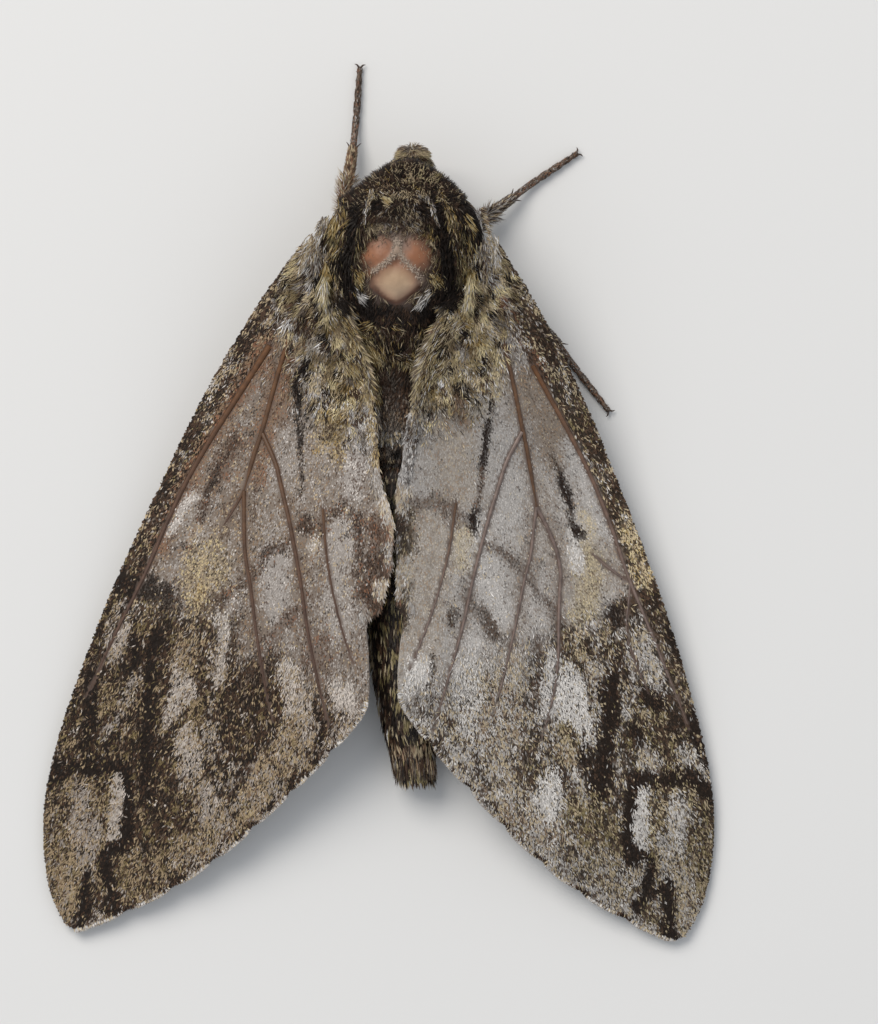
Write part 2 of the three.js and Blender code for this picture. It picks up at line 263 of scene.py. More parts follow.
# Kinds of scale and hair, and blends of them in shares.
KINDS = {
    "black": "#1c120b", "brown": "#4a372a", "drab": "#7b7066", "grey": "#9f9b98", "silver": "#b5b2b0",
    "cream": "#b9a98c", "white": "#dcd9d6", "olive": "#857956", "tan": "#8a745e", "rust": "#85604a",
    "gold": "#a38b58", "straw": "#c8ba94",
}
PALETTE = np.array([rgb(code) for code in KINDS.values()])


def blend(**shares):
    """A blend of the kinds, given in parts of a hundred, as shares that add up to 1."""
    found = np.array([shares.get(kind, 0.0) for kind in KINDS])
    return found / found.sum()


def to_path(points, path):
    """The distance from each point to a line through path."""
    nearest = np.full(len(points), np.inf)
    path = np.array(path, float)
    for start, end in zip(path[:-1], path[1:]):
        run = end - start
        t = ramp((points - start) @ run / (run @ run))
        nearest = np.minimum(nearest, norm(points - start - t[:, None] * run))
    return nearest


def spot(middle, radii, turn=0.0):
    """How far inside an oval each point lies, in millimetres. turn is in degrees."""
    cos, sin = math.cos(math.radians(turn)), math.sin(math.radians(turn))

    def inside(points):
        p = (points - np.array(middle)) @ np.array([[cos, -sin], [sin, cos]]) / np.array(radii)
        return (1 - norm(p)) * min(radii)

    return inside


def stroke(width, *path):
    """How far inside a stroke of that width each point lies."""
    return lambda points: width / 2 - to_path(points, path)


def painted(points, ground, marks, seed, ragged=1.0, grain=(2.6, 1.0)):
    """The shares of each kind at each point: marks laid over the ground, ragged along the grain."""
    random = np.random.default_rng(seed)
    lengthwise = points / np.array(grain)
    wander = np.stack([clouds(lengthwise, 0.9, seed + n) + 0.6 * clouds(lengthwise, 0.3, seed + 9 + n) - 0.8
                       for n in (0, 1)], 1)
    strayed = np.where(random.random(len(points)) < 0.14, 0.55, 0.13)[:, None]
    strayed = strayed * random.normal(0, 1, (len(points), 2))
    moved = wander * ragged * np.array([1.1, 0.6]) + strayed * ragged * np.array([1.3, 0.8])
    shares = ground
    for inside, laid, soft in marks:
        mask = ramp(0.5 + inside(points + moved * min(1, 0.3 + soft)) / soft)[:, None]
        shares = over(shares, laid, mask**2 * (3 - 2 * mask))
    return shares


def drawn_kinds(shares, points, seed, clump=0.3, together=0.3):
    """One kind for each point, drawn from the shares, a part of them together in small clumps of one kind."""
    random = np.random.default_rng(seed)
    cells = np.floor(points / np.array([clump * 1.5, clump])).astype(np.int64)
    key = cells @ np.array([73856093, 19349663])
    key = ((key ^ (key >> 13)) * 1274126177) & 0xFFFF
    draw = np.where(random.random(len(points)) < together, key / 0xFFFF, random.random(len(points)))
    return (draw[:, None] > np.cumsum(shares, axis=1)[:, :-1]).sum(1)


def drawn(shares, points, seed, clump=0.3, together=0.3, even=0.0, calm=0.0):
    """One colour for each point: of its drawn kind and, by the share even, of the blend round it.

    Pale kinds keep more of the blend, by calm."""
    random = np.random.default_rng(seed + 1)
    own, mixed = PALETTE[drawn_kinds(shares, points, seed, clump, together)], shares @ PALETTE
    pulled = even + calm * (own.sum(1) > mixed.sum(1))[:, None]
    return over(own, mixed, pulled) * random.normal(1.0, 0.08, (len(points), 1)).clip(0.7, 1.3)


DISC = blend(drab=42, grey=30, silver=6, cream=4, tan=6, brown=8, black=3.5, white=0.5)
VEIL = blend(silver=40, grey=42, drab=10, cream=3, white=2, brown=1.5, black=1.5)
BUFF = blend(drab=36, tan=26, grey=10, silver=3, cream=6, brown=15, black=4)
OUTER = blend(drab=15, grey=11, silver=6, white=3, cream=10, brown=30, black=23, olive=2)
COSTAL = blend(drab=12, brown=42, black=26, cream=11, olive=6, grey=3)
BLACK = blend(black=93, brown=7)
DARK = blend(black=64, brown=28, drab=4, cream=3, olive=1)
DUSK = blend(black=42, brown=35, drab=10, cream=7, olive=5, white=1)
WHITE = blend(white=62, silver=24, cream=8, drab=4, black=2)
PALE = blend(silver=28, white=10, grey=16, cream=18, drab=12, brown=10, black=6)
CREAM = blend(cream=42, silver=14, straw=5, olive=5, tan=10, brown=16, black=8)
FAWN = blend(cream=18, straw=2, olive=8, silver=4, drab=4, brown=34, black=30)
OLIVE = blend(olive=20, cream=17, brown=30, black=20, drab=9, silver=4)
PINK = blend(cream=30, silver=22, tan=26, grey=14, white=8)
ROSE = blend(grey=34, silver=16, cream=14, tan=16, drab=18, white=2)
UMBRE = blend(brown=50, rust=20, drab=16, black=14)
SHADE = UMBRE * 0.5 + DARK * 0.5
STIPPLE = blend(black=26, brown=30, drab=28, grey=16)
HAY = blend(straw=22, cream=28, silver=10, white=7, gold=6, brown=12, black=15)
STAIN = blend(rust=36, tan=34, brown=20, drab=10)

# Marks on the forewings: (shape, blend, softness of its edge), each laid over the ones before it.
TIP_ARCH = [
    (stroke(1.05, (44.4, -0.3), (45.7, 0.9), (47.9, 1.8), (50.6, 2.7)), BLACK, 0.3),
    (spot((50.6, 2.3), (0.9, 0.75)), BLACK, 0.3),
    (stroke(0.9, (50.5, 1.9), (51.3, 1.1), (52.5, 1.3), (53.7, 2.2), (55.4, 3.8)), BLACK, 0.4),
    (stroke(0.95, (53.9, 0.3), (55.1, 0.7), (56.7, 1.2), (58.4, 1.4)), BLACK, 0.3),
]
MARKS = {}
MARKS[RIGHT] = [
    (stroke(9, (-3, 4), (7, 6)), OLIVE * 0.4 + HAY * 0.6, 3.0),
    (stroke(3.6, (2.5, 1.8), (9, 2.4)), HAY, 1.6),
    # the smooth middle: light fields between the veins, and two dotted arches across them
    (stroke(2.6, (10.5, -1.2), (16.5, -1.7)), BUFF * 0.7 + DISC * 0.3, 1.2),
    (stroke(1.2, (16.5, -2.8), (20, -3.2), (24, -3.4)), VEIL, 0.9),
    (stroke(2.8, (14.5, 2.2), (20, 3.8)), VEIL, 1.4),
    (stroke(2.4, (21, 6.5), (27.5, 7.0)), VEIL * 0.8 + WHITE * 0.2, 1.2),
    (stroke(3.4, (12.5, 6.2), (17.5, 7.4)), ROSE, 1.8),
    (stroke(3.6, (19.5, 10.2), (25, 12.6), (30, 15)), ROSE, 1.4),
    (stroke(1.9, (30, 9.7), (33.2, 12)), VEIL * 0.6 + WHITE * 0.4, 1.0),
    (stroke(1.5, (33.2, 4.1), (36.8, 5.5)), VEIL * 0.5 + WHITE * 0.5, 0.8),
    (stroke(0.75, (22.4, 5.9), (24.2, 4.6), (26.2, 3.6), (28.4, 2.7), (31, 1.7)), STIPPLE, 0.9),
    (stroke(0.7, (25.4, 9.3), (27, 8.4), (28.8, 7.8), (31, 6.6)), STIPPLE, 1.0),
    (spot((28.8, 7.9), (1.2, 0.55)), STIPPLE * 0.5 + DARK * 0.5, 0.6),
    (stroke(0.9, (30.8, 4.2), (33.4, 5.3), (36, 6.6)), STIPPLE, 1.0),
    (spot((34.2, 7.4), (2.2, 0.8), 25), STIPPLE, 1.0),
    (stroke(1.1, (20.6, 7.6), (18.4, 8.1), (17.1, 9.3), (17.4, 10.6)), SHADE * 0.6 + DISC * 0.4, 1.0),
    (stroke(1.3, (21.0, 7.8), (23.4, 8.8)), blend(cream=40, silver=26, straw=10, grey=10, brown=14), 0.7),
    (spot((27, 10.7), (1.0, 0.4), 20), DARK, 0.5),
    (stroke(0.5, (29.4, 13.4), (30.8, 13.8), (32, 14.8)), DARK, 0.35),
    (stroke(2.4, (25.8, -1.7), (28, -0.9), (29.8, 0.3)),
     blend(straw=16, cream=28, silver=14, olive=6, drab=10, brown=16, black=10), 1.2),
    (stroke(0.8, (21.8, -2.4), (24.2, -2.3)), blend(straw=20, cream=36, grey=34, brown=10), 0.7),
    (stroke(1.1, (23.8, -0.9), (25.8, -0.6)), WHITE * 0.5 + VEIL * 0.5, 0.6),
    (stroke(1.0, (24.5, -5.3), (29.2, -5.4)), blend(straw=20, cream=32, gold=6, brown=26, black=16), 0.7),
    (stroke(0.9, (8.0, -2.0), (10.4, -2.2)), UMBRE, 0.7),
    # the inner margin, pale and brown by turns, where the wings meet
    (stroke(1.4, (14.9, 11), (12.7, 9.8), (10.5, 8.6)),
     blend(silver=24, white=16, black=26, brown=22, grey=12), 0.7),
    (stroke(1.2, (17.1, 12.8), (15.9, 11.1)), PINK, 0.5),
    (stroke(1.2, (17.8, 11.6), (20.5, 12.9), (23, 14.0), (26, 15)), OLIVE * 0.4 + DARK * 0.6, 0.7),
    (spot((18.0, 12.4), (0.9, 0.5)), DARK, 0.4),
    (stroke(1.2, (23.4, 14.6), (22.3, 13.8), (21.2, 12.8)), PINK, 0.5),
    (spot((24.6, 15.0), (0.9, 0.9)), UMBRE * 0.5 + DARK * 0.5, 0.5),
    # the root
    (spot((2.0, 3.0), (1.4, 1.1), -20), BLACK, 0.5),
    (spot((4.8, 4.2), (1.2, 0.8)), UMBRE * 0.5 + DARK * 0.5, 0.6),
    (stroke(1.3, (4.3, 1.2), (6.2, 0.9), (8.2, 1.2)), blend(straw=50, white=20, cream=20, brown=10), 0.6),
    (stroke(1.0, (5.2, 3.2), (7.0, 3.1)), PALE, 0.6),
    (stroke(0.8, (7.5, 6.4), (7.0, 4.8)), blend(straw=50, cream=30, brown=20), 0.5),
    (stroke(0.7, (9.0, 3.6), (10.4, 2.9)), PALE, 0.5),
    (stroke(0.9, (3.0, -1.2), (7.0, -1.4)), UMBRE * 0.6 + PALE * 0.4, 0.7),
    (stroke(1.0, (6.5, -2.4), (8.1, -3.3), (9.6, -3.8)), DARK, 0.6),
    (spot((10.8, 4.9), (1.3, 0.7)), blend(tan=60, drab=30, rust=10), 0.8),
    (spot((7.5, -3.5), (2.0, 0.8), -12), DARK, 0.8),
    (spot((17, -5.1), (1.6, 0.6), -6), DARK, 0.8),
    (spot((21, -5.4), (1.4, 0.5), -6), DARK, 0.7),
    (stroke(0.34, (10.9, 2.3), (12.4, 3.0)), BLACK, 0.3),
    (stroke(0.62, (12.4, 3.0), (13.4, 3.4), (14.6, 4.0), (15.8, 4.6)), BLACK, 0.3),
    (stroke(0.3, (15.8, 4.6), (17.4, 5.2), (19.4, 6.3)), SHADE, 0.3),
    (spot((20.2, 6.7), (0.9, 0.45), 25), BLACK, 0.5),
    (stroke(0.4, (16.6, -1.3), (18.6, -1.4), (22.8, -1.2)), DARK, 0.4),
    (stroke(0.62, (18.6, -1.4), (21.0, -1.5)), BLACK, 0.4),
    (spot((23.6, -1.4), (0.75, 0.4), -20), BLACK, 0.4),
    # the middle shade and the white patches beyond it
    (stroke(1.9, (30.8, -6.3), (30.6, -4.6), (30.6, -2.8)), DARK, 0.8),
    (spot((35, -3.9), (3.0, 1.0)), PALE, 0.9),
    (stroke(0.9, (33.6, -6.2), (36.2, -6.1)), BLACK, 0.6),
    (stroke(1.2, (30.6, -2.2), (32, -1.5), (33.4, -1.2)), BLACK, 0.7),
    (spot((32.7, 1.5), (1.4, 1.0)), CREAM, 0.8),
    (spot((32.3, -1.1), (0.9, 0.45)), CREAM, 0.5),
    (spot((34.3, 2.0), (0.8, 0.5)), DARK, 0.5),
    (spot((33, 0.8), (0.7, 0.45)), DARK, 0.5),
    (stroke(0.6, (33.4, -1.2), (36, -0.3)), DUSK, 0.5),
    (stroke(1.1, (30.8, 2.4), (32.4, 2.2), (34.2, 3.4)), DUSK, 0.8),
    (spot((33.6, 8.6), (3.4, 1.7), 40), PALE * 0.7 + PINK * 0.3, 1.4),
    (spot((30.6, 15.2), (1.9, 0.9), 35), WHITE, 0.8),
    (stroke(4.6, (35, 9.6), (41, 10.2), (46, 8.4)), PINK * 0.4 + PALE * 0.3 + OUTER * 0.3, 2.0),
    (stroke(1.6, (32, 10.2), (34, 11.4), (36, 12.3)), WHITE * 0.5 + PALE * 0.5, 0.8),
    (spot((40.8, 8.6), (1.8, 1.1), 20), DUSK * 0.6 + OUTER * 0.4, 1.2),
    (spot((41.9, -2.6), (3.3, 2.9)), DUSK, 1.4),
    (spot((38.6, -3.0), (1.3, 0.9)), BLACK, 0.6),
    (spot((41.0, -1.0), (1.1, 0.6)), BLACK, 0.5),
    (spot((39.9, -2.3), (1.0, 0.7)), FAWN, 0.5),
    (spot((36.7, 3.3), (2.7, 1.2), 12), WHITE, 0.8),
    (stroke(0.7, (38.6, 2.4), (40.7, 2.8)), WHITE, 0.5),
    (spot((39.5, 4.5), (1.2, 0.8)), OLIVE, 0.5),
    (spot((40.9, 5.0), (1.3, 0.9)), CREAM, 0.5),
    (spot((42.3, 6.0), (1.2, 0.5), 15), DARK, 0.5),
    (stroke(0.6, (40.4, 3.8), (41.7, 3.8), (42.7, 3.5), (44.2, 4.2)), BLACK, 0.5),
    (spot((43.6, 7.4), (2.0, 1.1), 25), WHITE, 0.7),
    (stroke(1.5, (36.0, -0.3), (38.2, 0.4), (39.8, 1.1), (41.4, 1.7), (43.0, 2.4), (45, 3.5), (46.6, 4.6)),
     BLACK, 0.6),
    (stroke(0.9, (36, -5.6), (40.5, -5.7)), COSTAL, 0.6),
    (stroke(1.3, (41.2, -5.7), (44.4, -5.7)), BLACK, 0.7),
    (spot((43.4, -1.4), (1.5, 0.9)), PALE, 0.6),
    (spot((44.2, -4.2), (1.1, 0.8)), PALE, 0.6),
    (spot((41.6, -4.2), (1.5, 1.0)), DARK, 0.8),
    # the dark arch and the pale tip behind it
    (spot((47.6, 4.6), (3.4, 1.8), -15), OLIVE * 0.85 + DARK * 0.15, 1.2),
    (spot((51, -2), (7, 3.4), 8), FAWN, 1.0),
    (stroke(1.7, (47.6, -2.5), (51, -1.4)), PALE * 0.6 + WHITE * 0.4, 0.7),
    (stroke(1.6, (50.4, -0.7), (53.6, -0.1)), PALE, 0.7),
    (stroke(1.8, (53.6, -1.2), (58, -0.4)), PALE * 0.6 + CREAM * 0.4, 0.7),
    (stroke(1.3, (45.7, 0.0), (50.0, 1.3)), WHITE, 0.4),
    (stroke(1.9, (48, -5.3), (50.5, -4.5), (55, -3.0)), OLIVE * 0.6 + DARK * 0.4, 0.8),
    (spot((51.4, 4.9), (3.2, 1.8), -25), FAWN * 0.5 + PALE * 0.5, 0.8),
    (spot((56.2, 2.6), (1.9, 0.9), -20), FAWN, 0.5),
    (stroke(1.4, (48.0, -5.7), (46.7, -5.2), (45.8, -4.4), (45.5, -3.3), (45.2, -2.2), (44.8, -1.0),
            (44.5, 0)), BLACK, 0.6),
    *TIP_ARCH,
    (stroke(0.5, (54.4, 1.7), (53.9, 0.3)), BLACK, 0.3),
    (stroke(0.6, (47.5, 10.0), (50.8, 7.9), (54, 5.2), (57, 2.6)), PALE, 0.5),
]
MARKS[LEFT] = [
    (stroke(9, (-3, 4), (7, 6)), OLIVE * 0.5 + HAY * 0.5, 3.0),
    (stroke(4.4, (5, 4.6), (11.5, 6.6)), blend(gold=18, straw=14, cream=22, silver=4, brown=22, black=20),
     2.0),
    (stroke(1.8, (9.6, 7.2), (11.5, 8.2), (15.5, 9.2)),
     blend(silver=34, white=14, grey=16, drab=12, brown=24), 0.8),
    # the smooth middle: warm stains beside the veins, light fields between them, and two dotted arches
    (stroke(1.2, (7, -1.7), (12, -2.5), (18, -3.6), (26, -4.2)), STAIN, 0.8),
    (stroke(2.6, (9, 0.2), (14, 1.2), (17, 2.0)), STAIN * 0.5 + BUFF * 0.3 + UMBRE * 0.2, 1.4),
    (stroke(1.8, (15.5, -1.2), (20, -1.8)), BUFF * 0.5 + UMBRE * 0.5, 1.2),
    (stroke(0.8, (21.5, -3.2), (23.8, -3.6), (25.4, -4.0)), WHITE * 0.6 + VEIL * 0.4, 0.5),
    (stroke(2.6, (23.2, 5.4), (27, 6.8)), VEIL, 1.1),
    (stroke(2.4, (19.5, 9.4), (22.5, 10.6), (26.5, 12.4)), VEIL * 0.7 + PALE * 0.3, 1.1),
    (stroke(2.0, (14, 2.6), (17.5, 3.4)), DISC * 0.5 + VEIL * 0.5, 1.2),
    (spot((23.7, -1.4), (1.3, 0.7)), PINK * 0.7 + BUFF * 0.3, 0.6),
    (spot((26.6, 0.3), (2.7, 1.9), 10),
     blend(gold=4, straw=20, cream=26, drab=16, silver=8, brown=14, black=12), 1.4),
    (spot((28.9, 0.6), (1.1, 0.7)), blend(gold=14, straw=30, cream=22, brown=34), 0.7),
    (stroke(0.7, (21.6, 6.0), (22.6, 5.0), (24.2, 4.3), (25.6, 3.8), (26.6, 2.9), (28.4, 2.3), (31, 2.3)),
     SHADE, 0.9),
    (stroke(1.4, (30.2, 3.8), (32.6, 5.0), (36, 6.3)), SHADE * 0.5 + DARK * 0.5, 0.9),
    (stroke(1.2, (25.8, 9.0), (27.8, 8.1), (30.2, 7.2)), UMBRE * 0.6 + DISC * 0.4, 0.9),
    (spot((29.2, 11.7), (2.1, 1.5), 35), UMBRE * 0.5 + DISC * 0.5, 1.5),
    (spot((19.9, 6.9), (0.7, 0.85)), SHADE, 0.5),
    (stroke(0.8, (20.4, 8.0), (18.6, 8.0), (17.3, 8.8), (17.2, 9.9), (18.2, 10.8)), SHADE, 0.9),
    (stroke(0.7, (18.2, 10.8), (20, 11.5), (22, 12.7), (23.6, 13.6)), SHADE, 1.0),
    (spot((21.0, 7.9), (0.8, 0.45)), CREAM * 0.5 + WHITE * 0.5, 0.4),
    # the inner margin and the root
    (stroke(1.4, (7.4, 8.2), (9.8, 9.7), (12.7, 10.4)),
     blend(gold=30, straw=14, cream=16, brown=26, black=14), 0.6),
    (spot((18.2, 12.5), (1.9, 0.9), 25), UMBRE, 0.7),
    (stroke(1.3, (15.3, 12.2), (16.6, 13.2), (18.4, 14.3)), PINK, 0.5),
    (spot((19.9, 13.4), (0.9, 0.6)), PALE, 0.6),
    (stroke(1.2, (20.2, 13.2), (21.8, 13.9), (23.4, 13.6)), UMBRE * 0.5 + DARK * 0.5, 0.6),
    (spot((21.4, 14.6), (0.9, 0.6)), UMBRE, 0.5),
    (spot((22.4, 14.3), (0.8, 0.6)), PINK, 0.4),
    (spot((24.1, 14.7), (0.9, 0.9)), UMBRE * 0.5 + DARK * 0.5, 0.5),
    (spot((1.7, 3.2), (1.3, 1.0), -20), BLACK, 0.5),
    (stroke(0.8, (2.2, 3.9), (2.8, 6.0)), blend(gold=40, straw=30, brown=30), 0.5),
    (stroke(1.4, (5.1, 1.6), (5.9, 3.5)), PALE, 0.7),
    (stroke(1.5, (8.0, 2.6), (9.6, 4.3)), PALE, 0.7),
    (stroke(0.7, (6.3, 4.5), (6.5, 6.4)), blend(gold=40, straw=35, brown=25), 0.5),
    (stroke(0.6, (5.5, 3.6), (5.5, 5.6)), BLACK, 0.5),
    (stroke(0.6, (8.4, 1.7), (10.4, 2.6)), BLACK, 0.5),
    (spot((3.6, 0.4), (1.6, 1.0)), UMBRE * 0.7 + OLIVE * 0.3, 1.0),
    (spot((7.5, -3.5), (2.0, 0.8), -12), DARK, 0.8),
    (spot((17, -5.1), (1.6, 0.6), -6), DARK, 0.8),
    (spot((22, -5.4), (1.8, 0.5), -6), DARK, 0.7),
    (stroke(0.4, (6.5, 1.6), (8.5, 1.9), (10, 2.3)), BLACK, 0.35),
    (stroke(0.5, (10, 2.3), (12, 3.1), (14.2, 4.0)), BLACK, 0.3),
    (stroke(0.32, (14.2, 4.0), (15.6, 4.6), (17.2, 5.3)), DARK, 0.3),
    (stroke(0.7, (15.5, -1.2), (18, -1.7), (20, -2.0), (22.3, -1.7)), UMBRE * 0.6 + DARK * 0.4, 0.5),
    (stroke(0.6, (18.4, -1.9), (20.6, -1.9)), DARK, 0.4),
    (spot((24.9, -1.6), (0.5, 0.45)), SHADE, 0.4),
    (spot((26, -3.6), (1.0, 0.4)), STAIN, 0.4),
    (stroke(1.9, (30.2, -6.3), (29.7, -4.4), (29.7, -1.9)), BLACK, 0.9),
    (spot((30.4, 2.0), (1.8, 1.2)), DUSK * 0.6 + FAWN * 0.4, 1.0),
    (stroke(4.0, (32.5, 8.3), (38, 8.0)), DUSK * 0.6 + DARK * 0.4, 1.2),
    (spot((31.2, -2.6), (1.0, 0.6)), CREAM, 0.5),
    (spot((40, -1), (10, 6.2), 4), DUSK * 0.8 + DARK * 0.2, 2.4),
    (spot((48, 3), (8, 4.6), -10), DUSK * 0.9 + DARK * 0.1, 2.4),
    (stroke(2.4, (38, 12.8), (42, 11.2), (46.5, 9.0), (50, 6.8)), CREAM * 0.5 + PALE * 0.2 + DUSK * 0.3, 1.0),
    (spot((34.3, -4.5), (2.2, 0.9)), PALE * 0.6 + WHITE * 0.4, 0.7),
    (stroke(0.7, (34, -3.1), (35.4, -2.7), (37.4, -1.8)), BLACK, 0.5),
    (stroke(0.9, (36.8, -1.5), (42.4, -2.4)), PALE * 0.5 + DUSK * 0.5, 0.7),
    (stroke(1.1, (38.2, -5.3), (40.1, -4.8), (42.5, -3.9), (45, -3.4)), BLACK, 0.7),
    (spot((39.5, -3.5), (1.6, 0.8), 20), FAWN, 0.6),
    (stroke(1.1, (29.6, 2.8), (31.8, 4.2), (34.6, 4.9)), PALE * 0.6 + WHITE * 0.4, 0.6),
    (stroke(0.8, (29.5, 3.9), (32.6, 5.4), (36, 6.8)), DUSK, 0.7),
    (stroke(1.3, (35.0, 1.3), (36.6, 2.6)), WHITE, 0.5),
    (stroke(0.6, (36.6, 1.6), (39.4, 2.0)), WHITE * 0.6 + PALE * 0.4, 0.4),
    (stroke(0.8, (36, 2.6), (38.6, 2.3)), PALE, 0.6),
    (spot((38.2, 3.7), (1.4, 0.9)), OLIVE, 0.6),
    (spot((40.3, 4.0), (1.2, 0.9)), CREAM * 0.5 + WHITE * 0.5, 0.6),
    (spot((37, 7.4), (3.4, 1.5), 35), DUSK, 1.4),
    (stroke(1.6, (31.4, 9.8), (33.6, 11.1), (35.4, 12.2)), CREAM * 0.3 + WHITE * 0.7, 0.7),
    (stroke(2.2, (36, 11.8), (40, 11.2)), CREAM * 0.6 + PALE * 0.2 + DUSK * 0.2, 0.8),
    (spot((42.2, 5.0), (1.6, 0.9)), PALE * 0.6 + WHITE * 0.2 + OUTER * 0.2, 0.7),
    (spot((33.6, 1.4), (1.8, 1.2)), OUTER * 0.5 + CREAM * 0.5, 1.0),
    (spot((31.8, 14.9), (1.6, 1.0), 35), WHITE, 0.6),
    (stroke(0.7, (33.6, 13.6), (35.4, 14.4)), DARK, 0.4),
    (spot((44.5, 7.4), (1.8, 0.9), 25), PALE, 0.8),
    (stroke(1.0, (32.4, -1.8), (35, -1.1), (37.3, -0.4), (39.5, 0.3), (42.1, 1.1), (45.6, 2.6)), BLACK, 0.6),
    (spot((51, -2), (7, 3.4), 8), FAWN, 1.0),
    (stroke(1.7, (47.6, -2.7), (51, -1.8)), PALE, 0.7),
    (stroke(1.6, (50.4, -0.7), (53.6, -0.1)), PALE, 0.7),
    (stroke(1.6, (54, -1.2), (58, -0.4)), CREAM, 0.7),
    (stroke(1.2, (45.7, 0.0), (50.0, 1.3)), WHITE * 0.6 + PALE * 0.4, 0.5),
    (spot((52.4, 4.7), (2.8, 1.7), -25), FAWN, 0.8),
    (stroke(1.4, (48.0, -5.7), (46.7, -5.2), (45.5, -3.3), (44.8, -1.0), (44.5, 0)), BLACK, 0.7),
    *TIP_ARCH,
]

# Veins as far as they are rubbed bare: (thickness at each end, colour at each end, path), mauve where thin.
AMBER, MAUVE, UMBER, DUN = "#64401f", "#75645d", "#5c4029", "#563f33"
VEINS = {
    RIGHT: {
        "subcosta": (0.42, 0.16, AMBER, MAUVE,
                     [(9.0, -1.9), (12, -2.5), (16, -3.3), (20, -3.9), (24, -4.2), (28, -4.3), (34, -4.8),
                      (42, -5.4)]),
        "stem": (0.34, 0.34, UMBER, UMBER, [(6, -0.2), (9, 0), (14, 0.5), (16, 0.7), (20.3, 1.3)]),
        "upper branch": (0.33, 0.15, MAUVE, MAUVE,
                         [(20.3, 1.3), (22, 1.0), (24, 0.8), (26, 1.0), (28, 1.7), (30, 2.4), (33, 3.4),
                          (36, 4.8), (39, 6.8)]),
        "lower branch": (0.27, 0.12, MAUVE, MAUVE,
                         [(20.3, 1.3), (22, 2.1), (24, 3.0), (26, 4.2), (30, 6.4), (34, 8.8), (36, 10.2)]),
        "hind branch": (0.36, 0.15, MAUVE, MAUVE,
                        [(14, 0.6), (16, 2.6), (18, 4.0), (20, 5.4), (24, 7.9), (28, 10.2), (32, 12.8),
                         (35.6, 15.2)]),
        "inner vein": (0.22, 0.13, UMBER, MAUVE, [(18, 7.6), (22, 9.6), (26, 12.2), (30, 15.4)]),
        "cross vein": (0.14, 0.2, MAUVE, MAUVE, [(25.4, -2.0), (26.6, -2.7), (28.4, -4.0)]),
        "tip vein": (0.15, 0.1, MAUVE, MAUVE, [(29, -4.2), (33, -2.7), (38, -3)]),
    },
    LEFT: {
        "subcosta": (0.55, 0.2, AMBER, DUN,
                     [(7.0, -1.5), (9.5, -2), (12, -2.5), (16, -3.3), (20, -3.9), (24, -4.2), (28, -4.3),
                      (34, -4.8), (40, -5.2)]),
        "stem": (0.42, 0.38, AMBER, UMBER, [(6, -0.2), (9, 0), (14, 0.5), (16, 0.6), (19, 0.9)]),
        "upper branch": (0.26, 0.12, UMBER, DUN, [(19, 0.9), (20.5, 0.7), (22.6, 0.3)]),
        "lower branch": (0.36, 0.15, UMBER, DUN,
                         [(19, 0.9), (22, 2.1), (24, 3.0), (26, 4.2), (30, 6.4), (34, 8.8), (36, 10.2)]),
        "hind branch": (0.42, 0.18, UMBER, DUN,
                        [(14, 0.6), (16, 2.6), (18, 4.0), (20, 5.4), (24, 7.9), (28, 10.2), (32, 12.8),
                         (34.6, 14.6)]),
        "inner vein": (0.22, 0.13, UMBER, DUN, [(18, 7.6), (22, 9.6), (26, 12.2), (29, 14.6)]),
    },
}
subcosta_at = through([(-3.4, -1.0), (6, -1.2), (9.5, -2), (16, -3.3), (24, -4.2), (34, -4.8), (42, -5.4),
                       (50, -5.4), (58.7, 0.4)])

OUTER_FROM = 31.0  # the mottled outer half begins here along the wing
COSTAL_TO = 46.0  # and the dark strip in front of the subcosta fades out from here


def wing_zones(a, c):
    """How much each place belongs to the mottled outer half and to the dark strip in front."""
    line = a - 0.16 * c - OUTER_FROM + 2.4 * (clouds(np.c_[a, c], 2.2, 31) - 0.5)
    costal = ramp(0.5 + (subcosta_at(a) - c) / 0.4) * ramp(1 + (COSTAL_TO - a) / 6)
    return ramp(0.5 + line / 3)[:, None], costal[:, None]


def wing_shares(side, a, c):
    """The shares of each kind of scale at places on a forewing."""
    points = np.c_[a, c]
    outer, costal = wing_zones(a, c)
    inner = ramp((c - 1.2) / 5)[:, None]
    streak = clouds(points / (3.2, 1.0), 0.8, 47 + side) + 0.85 * clouds(points / (1.8, 1.0), 0.36, 57 + side)
    mottle = np.clip((streak - 0.92) * 2.7, -1, 1)[:, None]
    between_veins = 1 - np.exp(-((from_veins(side, points) / 1.1) ** 2))[:, None]
    patch = 0.5 * (clouds(points / (2.6, 1.0), 1.3, 63) - 0.5)[:, None]
    cell = 0.8 * ramp((0.5 if side == RIGHT else 0.25) * inner + 0.9 * between_veins + patch)
    smooth = over(DISC, VEIL, cell) if side == RIGHT else over(BUFF, DISC * 0.75 + VEIL * 0.25, cell)
    ground = over(over(smooth, OUTER, outer), COSTAL, costal)
    strength = 0.15 + 0.7 * outer + 0.3 * costal * (1 - outer)
    ground = ground + (DARK - ground) * ramp(mottle) * strength + (PALE - ground) * ramp(-mottle) * strength
    return painted(points, ground, MARKS[side], 11 + side)


def depth_and_painted_light_of(side, a):
    """How deep the scales are coloured along a forewing: darker past its middle. The whole left wing is
    painted darker still, as painted shade, and the right wing's middle lighter, as painted light.
    """
    past, tip = ramp((a - 29) / 4)[:, None], ramp((a - 45) / 5)[:, None]
    # painted shade: the left wing darker all over
    if side == LEFT:
        return np.array([0.94, 0.9, 0.87]) - past * (0.17, 0.19, 0.21)
    # painted light: the right wing's middle lighter
    lit = 0.22 * ramp((a - 15) / 5)[:, None] * (1 - past)
    return (1 + lit - 0.04 * past - 0.2 * tip) * np.ones(3)


def smooth_line(path, steps=8):
    """The path's points with smooth ones between them."""
    path = np.array(path, float)
    length = np.r_[0, np.cumsum(norm(np.diff(path, axis=0)))]
    fine = np.linspace(0, length[-1], (len(path) - 1) * steps + 1)
    return through(np.c_[length, path])(fine), fine / length[-1]


